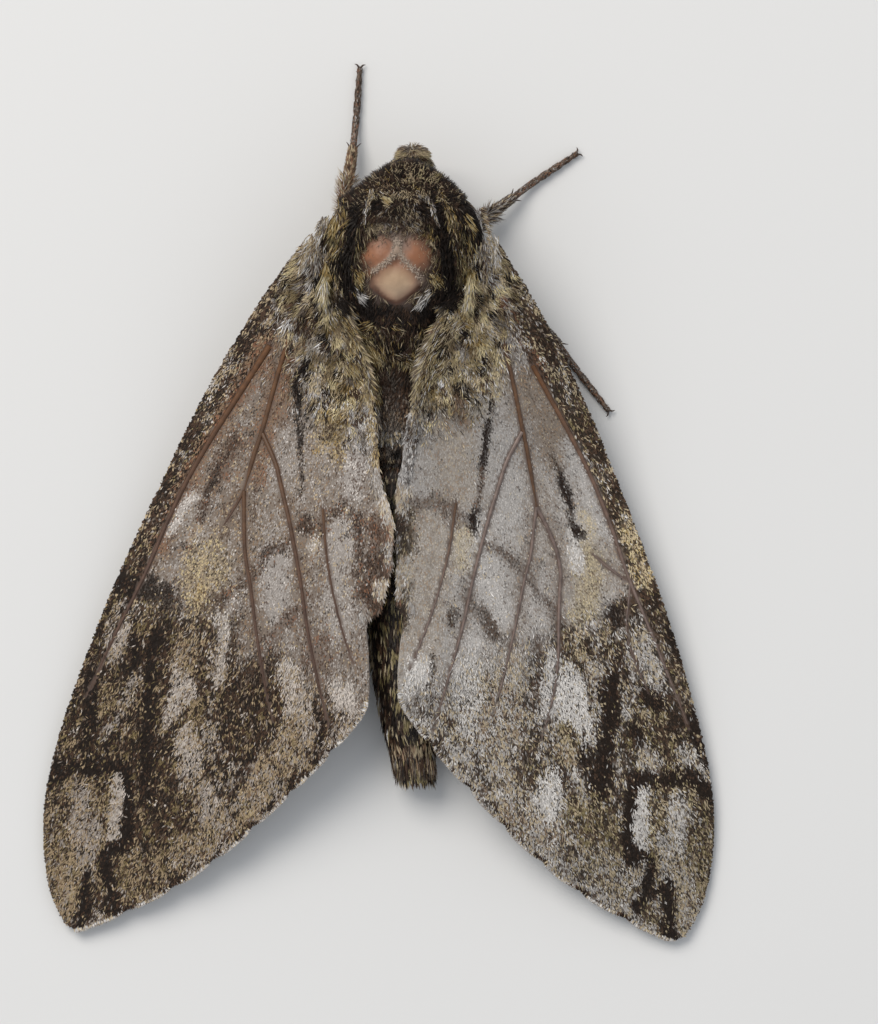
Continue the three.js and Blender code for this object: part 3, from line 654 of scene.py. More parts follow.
def from_veins(side, points):
    """How far each point lies from the nearest vein."""
    return np.min([to_path(points, smooth_line(row[4], 2)[0]) for row in VEINS[side].values()], axis=0)


def bare(side, a, c):
    """1 where a vein is rubbed bare, falling to 0 within a quarter of a millimetre of it."""
    points = np.c_[a, c]
    found = np.zeros(len(a))
    for first, last, _, _, path in VEINS[side].values():
        line, share = smooth_line(path, 3)
        near = np.full(len(a), np.inf)
        for n in range(len(line) - 1):
            width = first + (last - first) * share[n]
            near = np.minimum(near, to_path(points, line[n:n + 2]) - width * 0.42)
        found = np.maximum(found, ramp(1 - near / 0.2))
    return found


def membrane_lift(side, a, c):
    """How far the membrane lies from the wing's outer surface: its scales' depth and slight creases."""
    return -SCALE_DEPTH - 0.04 + 0.05 * (clouds(np.c_[a / 3, c], 1.6, 5 + side) - 0.5)


def shell(nu, nv):
    """Faces of a closed skin of two sheets of nu by nv points, the upper sheet first."""
    grid = np.arange(nu * nv).reshape(nu, nv)
    top = np.stack([grid[:-1, :-1], grid[:-1, 1:], grid[1:, 1:], grid[1:, :-1]], -1).reshape(-1, 4)
    below = top[:, ::-1] + nu * nv
    rim = np.r_[grid[0, :-1], grid[:-1, -1], grid[-1, :0:-1], grid[:0:-1, 0]]
    side = np.stack([np.roll(rim, -1), rim, rim + nu * nv, np.roll(rim, -1) + nu * nv], -1)
    return np.concatenate([top, below, side])


def belongs(piece, slot, *nodes):
    """The finished piece rides with the moth and stands for those CAD nodes, which are hidden. slot is not
    used.
    """
    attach(piece, "root")
    if nodes:
        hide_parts(*nodes)


def paint_points(made, colours, name="tint"):
    """Stores one colour for each vertex."""
    layer = made.data.color_attributes.new(name, "FLOAT_COLOR", "POINT")
    layer.data.foreach_set("color", np.c_[colours, np.ones(len(colours))].astype(np.float32).ravel())


def lay_out(made, uv):
    """The OFBake map, from one place for each vertex."""
    loops = np.empty(len(made.data.loops), np.int32)
    made.data.loops.foreach_get("vertex_index", loops)
    layer = made.data.uv_layers.new(name="OFBake")
    layer.data.foreach_set("uv", np.asarray(uv, np.float32)[loops].ravel())


def wing_place(a, c):
    """A place on the upper half of the forewing's OFBake map."""
    return np.c_[0.03 + 0.94 * (a - WING_ROOT) / (WING_LENGTH - WING_ROOT), 0.04 + (c + 7) / 26 * 0.42]


def flecked(shares, points, least, more, size, seed):
    """The colours of blends, with light and dark flecks about size millimetres across."""
    return (shares @ PALETTE) * (least + more * clouds(points, size, seed)[:, None])


def sheet(piece, side, counts, top, bottom, above, under, place):
    """A wing's skin of two sheets, each with its colours and with its own half of the OFBake map."""
    faces = shell(*counts)
    skin = solid(piece, np.concatenate([top, bottom]), faces if side == LEFT else faces[:, ::-1], membrane)
    paint_points(skin, np.concatenate([above, under]))
    lay_out(skin, np.concatenate([place, place + (0, 0.5)]))
    return skin


def tinted(name, roughness, grain=None, size=1.0, strength=0.0, depth=0.0, **detail):
    """A material coloured by each piece's tint. grain is the texture of its bump, with a size and a depth."""
    made, tree, shader = material(name)
    tint = node(tree, "ShaderNodeAttribute", attribute_name="tint")
    tree.links.new(tint.outputs["Color"], shader.inputs["Base Color"])
    shader.inputs["Roughness"].default_value = roughness
    if grain:
        place = node(tree, "ShaderNodeTexCoord").outputs["Object"]
        texture = node(tree, grain, {"Vector": place, "Scale": 1 / (size * MM), **detail})
        bump = node(tree, "ShaderNodeBump", {"Height": texture, "Strength": strength, "Distance": depth * MM})
        tree.links.new(bump.outputs["Normal"], shader.inputs["Normal"])
    return made, shader


# Wing membrane: dry chitin a few hundredths of a millimetre thick, satin, with sockets for the scales.
membrane, _ = tinted("wing membrane", 0.6, "ShaderNodeTexVoronoi", size=0.16, strength=0.5, depth=0.05)

UNDER = blend(brown=35, drab=30, grey=20, cream=15)
UNDER_MARKS = [(stroke(3, (24, -6), (26, 2), (22, 10)), DARK, 2.0), (spot((48, 0), (9, 4)), UNDER, 4.0)]
for word, side in SIDES.items():
    nu, nv = 170, 62
    share = 1 - (1 - np.linspace(0, 1, nu)) ** 1.35
    a = np.repeat(WING_ROOT + share * (WING_LENGTH - FRINGE * 0.6 - WING_ROOT), nv)
    outer = ramp((a - FRINGE_FROM) / 3) * FRINGE
    from_costa, to_inner = costa_at(a) + 0.1, inner_edge(side, a) - outer - 0.05
    c = from_costa + np.tile(np.linspace(0, 1, nv), nu) * np.maximum(to_inner - from_costa, 0.05)
    inset = np.minimum(np.minimum(c - from_costa, to_inner - c), (WING_LENGTH - FRINGE - a) * 1.2)
    inset = inset.clip(0, 1.6) / 1.6
    thickness = EDGE_THICKNESS + (ROOT_THICKNESS - EDGE_THICKNESS) * inset**0.7
    top = on_wing(side, a, c, membrane_lift(side, a, c))
    bottom = on_wing(side, a, c, membrane_lift(side, a, c) - thickness)
    points = np.c_[a, c]
    # the upper sheet's colours, with the painted light and shade along the wing
    above = flecked(wing_shares(side, a, c), points, 0.62, 0.3, 0.25, 3) * depth_and_painted_light_of(side, a)
    above = over(above, rgb("#554136"), bare(side, a, c)[:, None])
    under = painted(points, DUSK * 0.6 + UNDER * 0.4, UNDER_MARKS, 70 + side)
    under = flecked(under, points, 0.7, 0.5, 0.3, 8)
    skin = sheet(f"forewing_{word}_membrane", side, (nu, nv), top, bottom, above, under, wing_place(a, c))
    belongs(skin, "wing_scales", f"forewing_{word}")


# ---- Forewings: the veins ------------------------------------------------------------------------
# Stiff hollow tubes that run from the hinge to the margins in the thickness of each membrane. On a worn
# moth they stand bare and brown where the scales have rubbed off them.


def maker(name, inputs, output):
    """A new tree that makes geometry from named inputs, each with its kind, and the node that gives them."""
    tree = bpy.data.node_groups.new(name, "GeometryNodeTree")
    for label, kind in inputs.items():
        tree.interface.new_socket(label, in_out="INPUT", socket_type=f"NodeSocket{kind}")
    tree.interface.new_socket(output, in_out="OUTPUT", socket_type="NodeSocketGeometry")
    return tree, node(tree, "NodeGroupInput")


veins_tree, given = maker("tubes along paths", {"Paths": "Geometry", "Sides": "Int", "Finish": "Material"},
                          "Tubes")
girth = node(veins_tree, "GeometryNodeInputNamedAttribute", {"Name": "girth"}, data_type="FLOAT")
path = node(veins_tree, "GeometryNodeMeshToCurve", {"Mesh": given.outputs["Paths"]})
ring = node(veins_tree, "GeometryNodeCurvePrimitiveCircle", {
    "Resolution": given.outputs["Sides"], "Radius": 1.0})
swept = node(veins_tree, "GeometryNodeCurveToMesh", {
    "Curve": path, "Profile Curve": ring, "Scale": girth, "Fill Caps": True})
real = node(veins_tree, "GeometryNodeRealizeInstances", {"Geometry": swept})
dressed = node(veins_tree, "GeometryNodeSetMaterial", {"Geometry": real, "Material": given.outputs["Finish"]})
node(veins_tree, "NodeGroupOutput", {"Tubes": dressed})


def grown(name, points, edges, attributes, tree, **inputs):
    """The plain mesh that a node tree makes from points in plan millimetres with attributes."""
    mesh = bpy.data.meshes.new(name)
    mesh.from_pydata(((np.asarray(points) + SHIFT) * MM).tolist(), edges, [])
    for label, (kind, values) in attributes.items():
        layer = mesh.attributes.new(label, kind, "POINT")
        key = {"FLOAT": "value", "FLOAT_COLOR": "color"}.get(kind, "vector")
        layer.data.foreach_set(key, np.asarray(values, np.float32).ravel())
    made = bpy.data.objects.new(name, mesh)
    bpy.context.scene.collection.objects.link(made)
    modifier = made.modifiers.new("grow", "NODES")
    modifier.node_group = tree
    for item in tree.interface.items_tree:
        if item.in_out == "INPUT" and item.name in inputs:
            modifier[item.identifier] = inputs[item.name]
    done = bpy.data.meshes.new_from_object(made.evaluated_get(bpy.context.evaluated_depsgraph_get()))
    made.modifiers.remove(modifier)
    made.data = done
    done.name = name
    for label in attributes:
        if label != "tint" and label in done.attributes:
            done.attributes.remove(done.attributes[label])
    return made


# Vein shell: thicker rosy-brown chitin, rubbed smooth, duller than varnish.
vein_shell, tree, shader = material("bare vein shell")
place = node(tree, "ShaderNodeTexCoord").outputs["Object"]
tint = node(tree, "ShaderNodeAttribute", attribute_name="tint")
streaks = node(tree, "ShaderNodeTexNoise", {"Vector": place, "Scale": 1 / (0.7 * MM), "Detail": 3.0})
wear = node(tree, "ShaderNodeMapRange", {
    "Value": streaks, "From Min": 0.3, "From Max": 0.7, "To Min": 0.6, "To Max": 1.15})
shade = node(tree, "ShaderNodeVectorMath", {0: tint, "Scale": wear}, operation="SCALE")
tree.links.new(shade.outputs["Vector"], shader.inputs["Base Color"])
shader.inputs["Roughness"].default_value = 0.45

for word, side in SIDES.items():
    points, girths, edges, tints = [], [], [], []
    for first, last, tone, end_tone, path in VEINS[side].values():
        line, share = smooth_line(path)
        start = sum(len(p) for p in points)
        lift = membrane_lift(side, line[:, 0], line[:, 1])
        points.append(on_wing(side, line[:, 0], line[:, 1], lift - 0.02))
        girths.append((first + (last - first) * share) / 2 * MM * np.clip((1 - share) * 6, 0.35, 1))
        fade = ramp(share * 1.6)[:, None]
        tints.append(np.array(linear(tone)) * (1 - fade) + np.array(linear(end_tone)) * fade)
        edges += [(start + i, start + i + 1) for i in range(len(line) - 1)]
    veins = grown(f"forewing_{word}_veins", np.concatenate(points), edges, {
        "girth": ("FLOAT", np.concatenate(girths)),
        "tint": ("FLOAT_COLOR", np.concatenate(tints)),
    }, veins_tree, Sides=8, Finish=vein_shell)
    veins.data.shade_smooth()
    belongs(veins, "wing_scales")

# ---- Forewings: the scales -----------------------------------------------------------------------
# Flat overlapping scales of chitin, each rooted in a socket of the membrane and pointing to the margin.
# Drawn about twice their real size, so that each shows.

laid_tree, given = maker("laid tufts", {
    "Roots": "Geometry", "Tuft": "Object", "Patch": "Float", "Root Shade": "Float", "Finish": "Material",
}, "Coat")
along, up, size, root, spread = (
    node(laid_tree, "GeometryNodeInputNamedAttribute", {"Name": label}, data_type="FLOAT_VECTOR")
    for label in ("along", "up", "size", "root", "spread"))
plain = node(laid_tree, "GeometryNodeInputNamedAttribute", {"Name": "tint"}, data_type="FLOAT_COLOR")
turn = node(laid_tree, "FunctionNodeAxesToRotation", {"Primary Axis": along, "Secondary Axis": up},
            primary_axis="Y", secondary_axis="Z")
one_tuft = node(laid_tree, "GeometryNodeObjectInfo", {"Object": given.outputs["Tuft"]}).outputs["Geometry"]
laid = node(laid_tree, "GeometryNodeInstanceOnPoints", {
    "Points": given.outputs["Roots"], "Instance": one_tuft, "Rotation": turn, "Scale": size})
real = node(laid_tree, "GeometryNodeRealizeInstances", {"Geometry": laid})
patch = node(laid_tree, "ShaderNodeVectorMath", {0: spread, "Scale": given.outputs["Patch"]},
             operation="SCALE")
where = node(laid_tree, "ShaderNodeVectorMath", {0: root, 1: patch}, operation="ADD")
mapped = node(laid_tree, "GeometryNodeStoreNamedAttribute", {
    "Geometry": real, "Name": "OFBake", "Value": where}, data_type="FLOAT2", domain="CORNER")
# each tuft is painted darker at its root, by Root Shade, and a little lighter than its tint at its tip:
# painted shade among the tufts, with a faint painted highlight at the tips
height = node(laid_tree, "ShaderNodeSeparateXYZ", {"Vector": spread}).outputs["Y"]
depth = node(laid_tree, "ShaderNodeMapRange", {
    "Value": height, "From Min": -0.5, "From Max": 0.35, "To Min": given.outputs["Root Shade"],
    "To Max": 1.06})
shaded = node(laid_tree, "ShaderNodeVectorMath", {0: plain, "Scale": depth}, operation="SCALE")
coloured = node(laid_tree, "GeometryNodeStoreNamedAttribute", {
    "Geometry": mapped, "Name": "tint", "Value": shaded}, data_type="FLOAT_COLOR", domain="CORNER")
dressed = node(laid_tree, "GeometryNodeSetMaterial",
               {"Geometry": coloured, "Material": given.outputs["Finish"]})
node(laid_tree, "NodeGroupOutput", {"Coat": dressed})


def tuft_shape(name, points, faces, smooth):
    """A small closed shape to be laid many times: 1 long on +Y, 1 wide on X and 1 high on +Z."""
    mesh = bpy.data.meshes.new(name)
    mesh.from_pydata(points, [], faces)
    mesh.shade_smooth() if smooth else mesh.shade_flat()
    layer = mesh.uv_layers.new(name="spread")
    for loop in mesh.loops:
        x, y, _ = points[loop.vertex_index]
        layer.data[loop.index].uv = (x * 0.8, y - 0.5)
    made = bpy.data.objects.new(name, mesh)
    bpy.context.scene.collection.objects.link(made)
    made.hide_render = made.hide_viewport = True
    return made


def hair_shape(name, rings):
    """A tapering three-sided hair through rings of (along, half width, height), ending in a point."""
    points = [(w * math.sin(t), y + 0.02 * math.cos(t), z + w * 0.22 * math.cos(t))
              for y, w, z in rings[:-1] for t in (0, 2.1, 4.19)]
    points.append((0, rings[-1][0], rings[-1][2]))
    tip = len(points) - 1
    faces = [(0, 1, 2)]
    for n in range(0, tip - 3, 3):
        faces += [(n + i, n + 3 + i, n + 3 + (i + 1) % 3, n + (i + 1) % 3) for i in range(3)]
    faces += [(tip - 3 + i, tip, tip - 3 + (i + 1) % 3) for i in range(3)]
    return tuft_shape(name, points, faces, True)


def coat(name, shape, finish, slot, at, along, up, size, tint, root, root_shade=0.8):
    """A piece of coat: one tuft at each root, tinted, with painted shade at its root, and placed on the
    OFBake map.
    """
    made = grown(name, at, [], {
        "along": ("FLOAT_VECTOR", along), "up": ("FLOAT_VECTOR", up), "size": ("FLOAT_VECTOR", size * MM),
        "root": ("FLOAT_VECTOR", np.c_[root, np.zeros(len(root))]),
        "tint": ("FLOAT_COLOR", np.c_[tint, np.ones(len(tint))]),
    }, laid_tree, Tuft=shape, Patch=0.003, Finish=finish, **{"Root Shade": root_shade})
    points = np.empty(len(made.data.vertices) * 3)
    made.data.vertices.foreach_get("co", points)
    inside = np.clip(points.reshape(-1, 3), cad_low + COAT_GAP, cad_high - COAT_GAP)
    made.data.vertices.foreach_set("co", inside.ravel())
    if "spread" in made.data.uv_layers:
        made.data.uv_layers.remove(made.data.uv_layers["spread"])
    made.data.uv_layers.active = made.data.uv_layers["OFBake"]
    belongs(made, slot)


def measures(*values):
    """The width, length and height of each tuft, from rows or single numbers."""
    return np.stack(np.broadcast_arrays(*values), 1)


cad_low, cad_high = np.array(cad_box)
COAT_GAP = 0.02 * MM  # the coat's tips stay this far inside the body's own box
scale_shape = tuft_shape("scale", [(0, 0, 0), (-0.5, 0.55, 0.8), (0.5, 0.55, 0.8), (0, 1, 1)],
                         [(0, 2, 1), (1, 2, 3), (0, 3, 2), (0, 1, 3)], False)

# Wing scales: dry ribbed chitin coloured by pigment, matt with a faint silky glint.
scale_finish, shader = tinted("powdery wing scale", 0.66)
shader.inputs["Specular IOR Level"].default_value = 0.2


def wing_roots(side, a, c, lean, turn, length, width, height, tint):
    """Roots on a forewing: lean is the rise of each tuft and turn its swing from the lie of the scales."""
    along, across, up = wing_axes(side, a, c)
    lie = np.arctan2(c * 0.9, a + 7) + turn
    # tufts that would reach past the wing's edge are shortened
    for _ in range(3):
        a_tip, c_tip = a + length * np.cos(lie), c + length * np.sin(lie)
        proud = (c_tip > inner_edge(side, a_tip) - 0.02) | (c_tip < costa_at(a_tip) + 0.02)
        proud |= a_tip > WING_LENGTH - 0.1
        length = np.where(proud, length * 0.72, length)
    heading = along * np.cos(lie)[:, None] + across * np.sin(lie)[:, None]
    return dict(
        at=on_wing(side, a, c, membrane_lift(side, a, c) - 0.01),
        along=unit(heading + up * lean[:, None]), up=up,
        size=measures(width, length, height), tint=tint, root=wing_place(a, c))


def hairy(a, c):
    """How thick the soft hair of the wing's root stands, from 0 to 1."""
    return ramp((11.5 + 0.25 * c - a) / 6) * ramp(1.2 + (c - 0.55 * (a - 3)) / 2.5)


SCALES = 43200
SCALE_PITCH = 0.14
for word, side in SIDES.items():
    random = np.random.default_rng(100 + side)
    rows = np.arange(WING_ROOT + 0.05, WING_LENGTH - 0.3, SCALE_PITCH)
    columns = np.arange(-6.8, 17.4, SCALE_PITCH)
    a, c = (grid.ravel() for grid in np.meshgrid(rows, columns))
    a = a + random.uniform(0, SCALE_PITCH, len(a))
    c = c + random.uniform(0, SCALE_PITCH, len(a))
    inner = inner_edge(side, a) - 0.12 - ramp((a - FRINGE_FROM) / 3) * (FRINGE - 0.1)
    kept = (c > costa_at(a) + 0.06) & (c < inner)
    a, c = a[kept], c[kept]
    kept = bare(side, a + 0.15, c) < random.uniform(0, 1, len(a)) ** 2
    a, c = a[kept], c[kept]
    pick = random.permutation(len(a))[:SCALES]
    a, c = a[pick], c[pick]
    n = len(a)
    outer, costal = wing_zones(a, c)
    mixed = wing_shares(side, a + 0.2, c)
    rough = np.maximum(outer, costal)
    mixed = over(mixed, DARK, 0.4 * rough)
    even = (0.36 if side == RIGHT else 0.2) - 0.14 * rough
    calm = 0.36 * (side == RIGHT) * (1 - rough)
    tint = drawn(mixed, np.c_[a, c], 200 + side, clump=0.4, together=0.42, even=even, calm=calm)
    # painted light and shade along the wing, and painted shade on the scales where the root hair stands thick
    # over them
    tint *= depth_and_painted_light_of(side, a) * (1 - 0.45 * hairy(a, c)[:, None])
    scale = 0.68 + 0.32 * rough[:, 0]
    wing_coat = wing_roots(
        side, a, c, random.normal(0.04, 0.04, n) * scale**2, random.normal(0, 0.2, n),
        random.normal(0.4, 0.06, n) * scale, random.normal(0.19, 0.03, n) * scale,
        random.normal(0.07, 0.015, n) * scale**3, tint)
    coat(f"forewing_{word}_scales", scale_shape, scale_finish, "wing_scales", **wing_coat)

# Narrow hair-like scales stand among the flat ones, pale over dark, and thickest towards the tip, the
# costa and the root.
STRANDS = 20000
STRAND_TRIES = 190000
PALE_KINDS = [list(KINDS).index(kind)
              for kind in ("cream", "white", "silver", "olive", "tan", "gold", "straw")]
for word, side in SIDES.items():
    random = np.random.default_rng(500 + side)
    a = random.uniform(-1.5, WING_LENGTH - 0.9, STRAND_TRIES)
    c = random.uniform(-6.8, 17.2, STRAND_TRIES)
    thick = 0.02 + 0.9 * ramp((a - 29) / 4) + 0.8 * ramp((11 - a) / 4)
    thick += 0.6 * ramp(0.5 + (subcosta_at(a) - c) / 0.5)
    kept = (c > costa_at(a) + 0.12) & (c < inner_edge(side, a) - 0.3) & (random.random(len(a)) < thick)
    kept &= bare(side, a + 0.25, c) < 0.3
    a, c = a[kept], c[kept]
    mixed = wing_shares(side, a + 0.35, c)
    kind = drawn_kinds(mixed, np.c_[a, c], 520 + side, clump=0.42, together=0.42)
    kept = np.isin(kind, PALE_KINDS) | (random.random(len(a)) < 0.22)
    a, c, kind, mixed = (v[kept][:STRANDS] for v in (a, c, kind, mixed))
    n = len(a)
    # with the painted light and shade along the wing
    tint = over(PALETTE[kind], mixed @ PALETTE, 0.24) * depth_and_painted_light_of(side, a)
    tint *= random.normal(1.0, 0.1, (n, 1)).clip(0.7, 1.3)
    strands = wing_roots(
        side, a, c, random.normal(0.02, 0.03, n), random.normal(0, 0.42, n), random.normal(0.44, 0.08, n),
        random.normal(0.085, 0.015, n), random.normal(0.09, 0.02, n), tint)
    strands["at"] += strands["up"] * 0.045
    coat(f"forewing_{word}_strands", scale_shape, scale_finish, "wing_scales", **strands)

# ---- Forewings: the fringes ----------------------------------------------------------------------
# Hair-like scales in rows along the outer margin, pale between the vein ends and dark at them.

for word, side in SIDES.items():
    random = np.random.default_rng(300 + side)
    n = 5200
    a = random.uniform(31.5, WING_LENGTH - 0.5, n)
    row = random.integers(0, 3, n)
    edge = inner_edge(side, a)
    slope = (inner_edge(side, a + 0.4) - inner_edge(side, a - 0.4)) / 0.8
    c = edge - FRINGE - 0.12 - 0.16 * row
    along, across, up = wing_axes(side, a, c)
    heading = unit(np.c_[-slope, np.ones(n)] + random.normal(0, 0.12, (n, 2)))
    near_end = np.exp(-(((a[:, None] - VEIN_ENDS) / 0.5) ** 2)).sum(1)[:, None]
    mixed = over(PALE, DARK, ramp(near_end * 1.5))
    lift = membrane_lift(side, a, c) - 0.03 * row
    reach = np.minimum(0.56 + 0.16 * row, (WING_LENGTH + 0.2 - a) * 1.4)
    coat(f"forewing_{word}_fringe", scale_shape, scale_finish, "wing_scales",
         at=on_wing(side, a, c, lift), along=along * heading[:, :1] + across * heading[:, 1:], up=up,
         size=measures(random.normal(0.13, 0.02, n), reach * random.uniform(0.8, 1.0, n), 0.07),
         tint=drawn(mixed, np.c_[a, c], 310 + side), root=wing_place(a, c))

# ---- Hindwings -----------------------------------------------------------------------------------
# Two short broad wings folded away flat under the forewings, paler, with dark bands near the margin.

hind_edges = through([(0.5, -1, 3), (8, -3, 6.5), (16, -4.2, 8.4), (24, -4.4, 9.2), (30, -3.2, 7.8),
                      (34, 0.5, 2.5)])
HIND_BELOW = 1.07  # the upper sheet lies this far below the forewing's scales
HIND_THICKNESS = 0.24
HIND_BANDS = [
    (stroke(1.4, (29, -4), (31, 1), (30, 8)), BLACK, 1.2),
    (stroke(1.2, (23, -5), (25, 2), (23, 9)), DARK, 1.2),
    (stroke(1.2, (17, -5), (19, 2), (17, 9)), DARK, 1.2),
]
for word, side in SIDES.items():
    nu, nv = 90, 36
    a = np.repeat(0.6 + (1 - (1 - np.linspace(0, 1, nu)) ** 1.4) * 33.2, nv)
    from_costa, to_inner = hind_edges(a)[:, 0] + 0.1, hind_edges(a)[:, 1] - 0.1
    c = from_costa + np.tile(np.linspace(0, 1, nv), nu) * np.maximum(to_inner - from_costa, 0.1)
    fold = 0.1 * (clouds(np.c_[a / 4, c], 1.2, 77) - 0.5)
    top, bottom = (on_wing(side, a, c, fold - below) for below in (HIND_BELOW, HIND_BELOW + HIND_THICKNESS))
    shares = painted(np.c_[a, c], UNDER * 0.5 + PALE * 0.5, HIND_BANDS, 80 + side)
    shade = flecked(shares, np.c_[a, c], 0.7, 0.5, 0.3, 8)
    place = np.c_[0.03 + 0.94 * a / 34.5, 0.04 + (c + 5) / 15 * 0.42]
    skin = sheet(f"hindwing_{word}_membrane", side, (nu, nv), top, bottom, shade, shade, place)
    belongs(skin, "wing_scales", f"hindwing_{word}")


# ---- Body skin -----------------------------------------------------------------------------------
# Head, collar, thorax and abdomen are one hard shell in rings, with the palps in front. It is rubbed bare
# and shows its brown lobes and its pale shield on top of the thorax; elsewhere hair hides it.

# Sections: along the body, middle, half width, middle height, half height, out to the tips of the coat.
trunk_at = through([
    (-25.4, 1.35, 1.75, 2.35, 1.35), (-23.4, 1.1, 2.1, 2.5, 1.75), (-20, 0.75, 2.7, 3.0, 2.3),
    (-14, 0.3, 3.4, 4.0, 3.1), (-8, 0, 3.95, 4.7, 3.7), (0, -0.3, 4.4, 5.2, 4.1), (6, -0.45, 4.5, 5.5, 4.2),
    (9.5, -0.5, 4.6, 5.6, 4.2), (12.5, -0.4, 5.2, 6.2, 4.8), (15.5, -0.15, 6.1, 7.0, 5.6),
    (18, 0.05, 6.8, 7.4, 5.9), (20.5, 0.3, 6.85, 7.4, 5.6), (22.3, 0.5, 6.1, 7.5, 4.7),
    (23.6, 0.68, 4.9, 8.0, 3.1), (24.9, 0.8, 3.4, 8.4, 1.6),
])
head_at = through([
    (22.6, 0.55, 1.9, 5.9, 1.9), (23.6, 0.66, 2.6, 5.8, 2.5), (25.1, 0.84, 2.6, 5.7, 2.8),
    (26.4, 0.98, 1.85, 5.6, 2.3), (27.2, 1.06, 1.0, 5.5, 1.4),
])
HEAD_COAT = 0.35
# How deep the hair is along the trunk.
coat_at = through([(-25.4, 0.35), (-20, 0.5), (8, 0.6), (13, 0.9), (22, 0.95), (24.9, 0.55)])


def level(value):
    """A function that gives the same value, or the same blend, at every place."""
    return lambda places, *_: np.broadcast_to(value, (len(places), *np.shape(value)))


def on_barrel(section_at, y, angle, depth):
    """Plan points on a barrel of sections, at each angle from its top round to the moth's right."""
    x, wide, z, high = section_at(y).T
    return np.c_[x + np.sin(angle) * (wide - depth), y, z + np.cos(angle) * (high - depth)]


def barrel(section_at, ends, depth_at, rings, sides):
    """A closed barrel with its ends drawn in to points."""
    y = np.repeat(np.linspace(*ends, rings), sides)
    angle = np.tile(np.arange(sides) / sides * 2 * math.pi, rings)
    points = on_barrel(section_at, y, angle, depth_at(y))
    ring = np.arange(rings * sides).reshape(rings, sides)
    right = np.roll(ring, -1, axis=1)
    faces = np.stack([ring[:-1], ring[1:], right[1:], right[:-1]], -1).reshape(-1, 4)
    middles = [points[ring[0]].mean(0), points[ring[-1]].mean(0)]
    caps = [(ring[0, n], right[0, n], len(points)) for n in range(sides)]
    caps += [(right[-1, n], ring[-1, n], len(points) + 1) for n in range(sides)]
    return np.concatenate([points, middles]), [tuple(f) for f in faces] + caps


def limb(path, radius_at, sides=12, steps=6, beside=(0, 0, 1)):
    """A closed tapered tube through points. radius_at gives its radius at each share of its length."""
    line, share = smooth_line(path, steps)
    radius = np.maximum(radius_at(share), 0.02)
    forward = unit(np.gradient(line, axis=0))
    side = unit(np.cross(forward, beside))
    up = np.cross(side, forward)
    turn = np.arange(sides) / sides * 2 * math.pi
    rings = line[:, None] + radius[:, None, None] * (
        np.cos(turn)[None, :, None] * up[:, None] + np.sin(turn)[None, :, None] * side[:, None])
    ring = np.arange(len(line) * sides).reshape(len(line), sides)
    right = np.roll(ring, -1, axis=1)
    faces = [tuple(f) for f in np.stack([ring[:-1], right[:-1], right[1:], ring[1:]], -1).reshape(-1, 4)]
    points = np.concatenate([rings.reshape(-1, 3), line[:1] - forward[:1] * radius[0] * 0.4,
                             line[-1:] + forward[-1:] * radius[-1] * 0.4])
    faces += [(ring[0, n], len(points) - 2, right[0, n]) for n in range(sides)]
    faces += [(ring[-1, n], right[-1, n], len(points) - 1) for n in range(sides)]
    return points, faces


def joined(parts):
    """Several meshes' points and faces as one."""
    points, faces, start = [], [], 0
    for p, f in parts:
        points.append(p)
        faces += [tuple(int(i) + start for i in face) for face in f]
        start += len(p)
    return np.concatenate(points), faces


def palp_path(side):
    """The middle line of a palp, from the mouth round and up in front of the face."""
    x = float(head_at(26.0)[0, 0])
    return [(x + side * 0.7, 25.7, 3.6), (x + side * 0.68, 26.9, 4.0), (x + side * 0.62, 27.15, 5.2),
            (x + side * 0.58, 27.0, 6.1)]


palp_radius = through([(0, 0.45), (0.5, 0.52), (1, 0.5)])
parts = [
    barrel(trunk_at, (-24.5, 24.7), coat_at, 90, 48),
    barrel(head_at, (22.9, 27.1), level(HEAD_COAT), 16, 32),
    *(limb(palp_path(side), palp_radius, beside=(1, 0, 0)) for side in SIDES.values()),
]

# Body shell: thick brown chitin, smooth and slightly glossy where bare, dull under the hair.
body_shell, _ = tinted("body shell", 0.5, "ShaderNodeTexNoise", size=0.28, strength=0.35, depth=0.08,
                       Detail=4.0)

body = solid("body", *joined(parts), body_shell)
merge = body.modifiers.new("one skin", "REMESH")
merge.mode, merge.voxel_size, merge.use_smooth_shade = "VOXEL", 0.24 * MM, True
ease = body.modifiers.new("ease", "SMOOTH")
ease.factor, ease.iterations = 0.5, 3
whole = bpy.data.meshes.new_from_object(body.evaluated_get(bpy.context.evaluated_depsgraph_get()))
body.modifiers.clear()
body.data = whole
whole.name = "body"
skin_points = np.empty(len(whole.vertices) * 3)
whole.vertices.foreach_get("co", skin_points)
skin_points = skin_points.reshape(-1, 3) / MM - SHIFT

# Bare places on top of the thorax: two brown lobes, the pale shield behind them and ridges between.
LOBES = [((-1.75, 18.4), (1.45, 1.8)), ((1.4, 18.45), (1.4, 1.75))]
SHIELD, SHIELD_SIZE = np.array([-0.3, 16.1]), np.array([2.0, 1.6])
RIDGES = [
    [(-0.2, 19.7), (-0.17, 18.8)],
    [(-0.17, 18.9), (-1.0, 17.8), (-2.1, 17.1)],
    [(-0.17, 18.9), (0.42, 17.9), (1.1, 17.3), (1.75, 16.4)],
]
BARE_TOP = spot((-0.1, 17.7), (3.1, 3.0))
FRONT_SKIN = spot((0.1, 21.2), (2.6, 1.9))


def in_shield(points):
    """How far inside the shield each point lies: round in front, drawn to a point behind."""
    x, y = np.abs((points - SHIELD) / SHIELD_SIZE).T
    return (1 - np.where(points[:, 1] > SHIELD[1], np.hypot(x, y), x**1.3 + y**1.3)) * 1.5


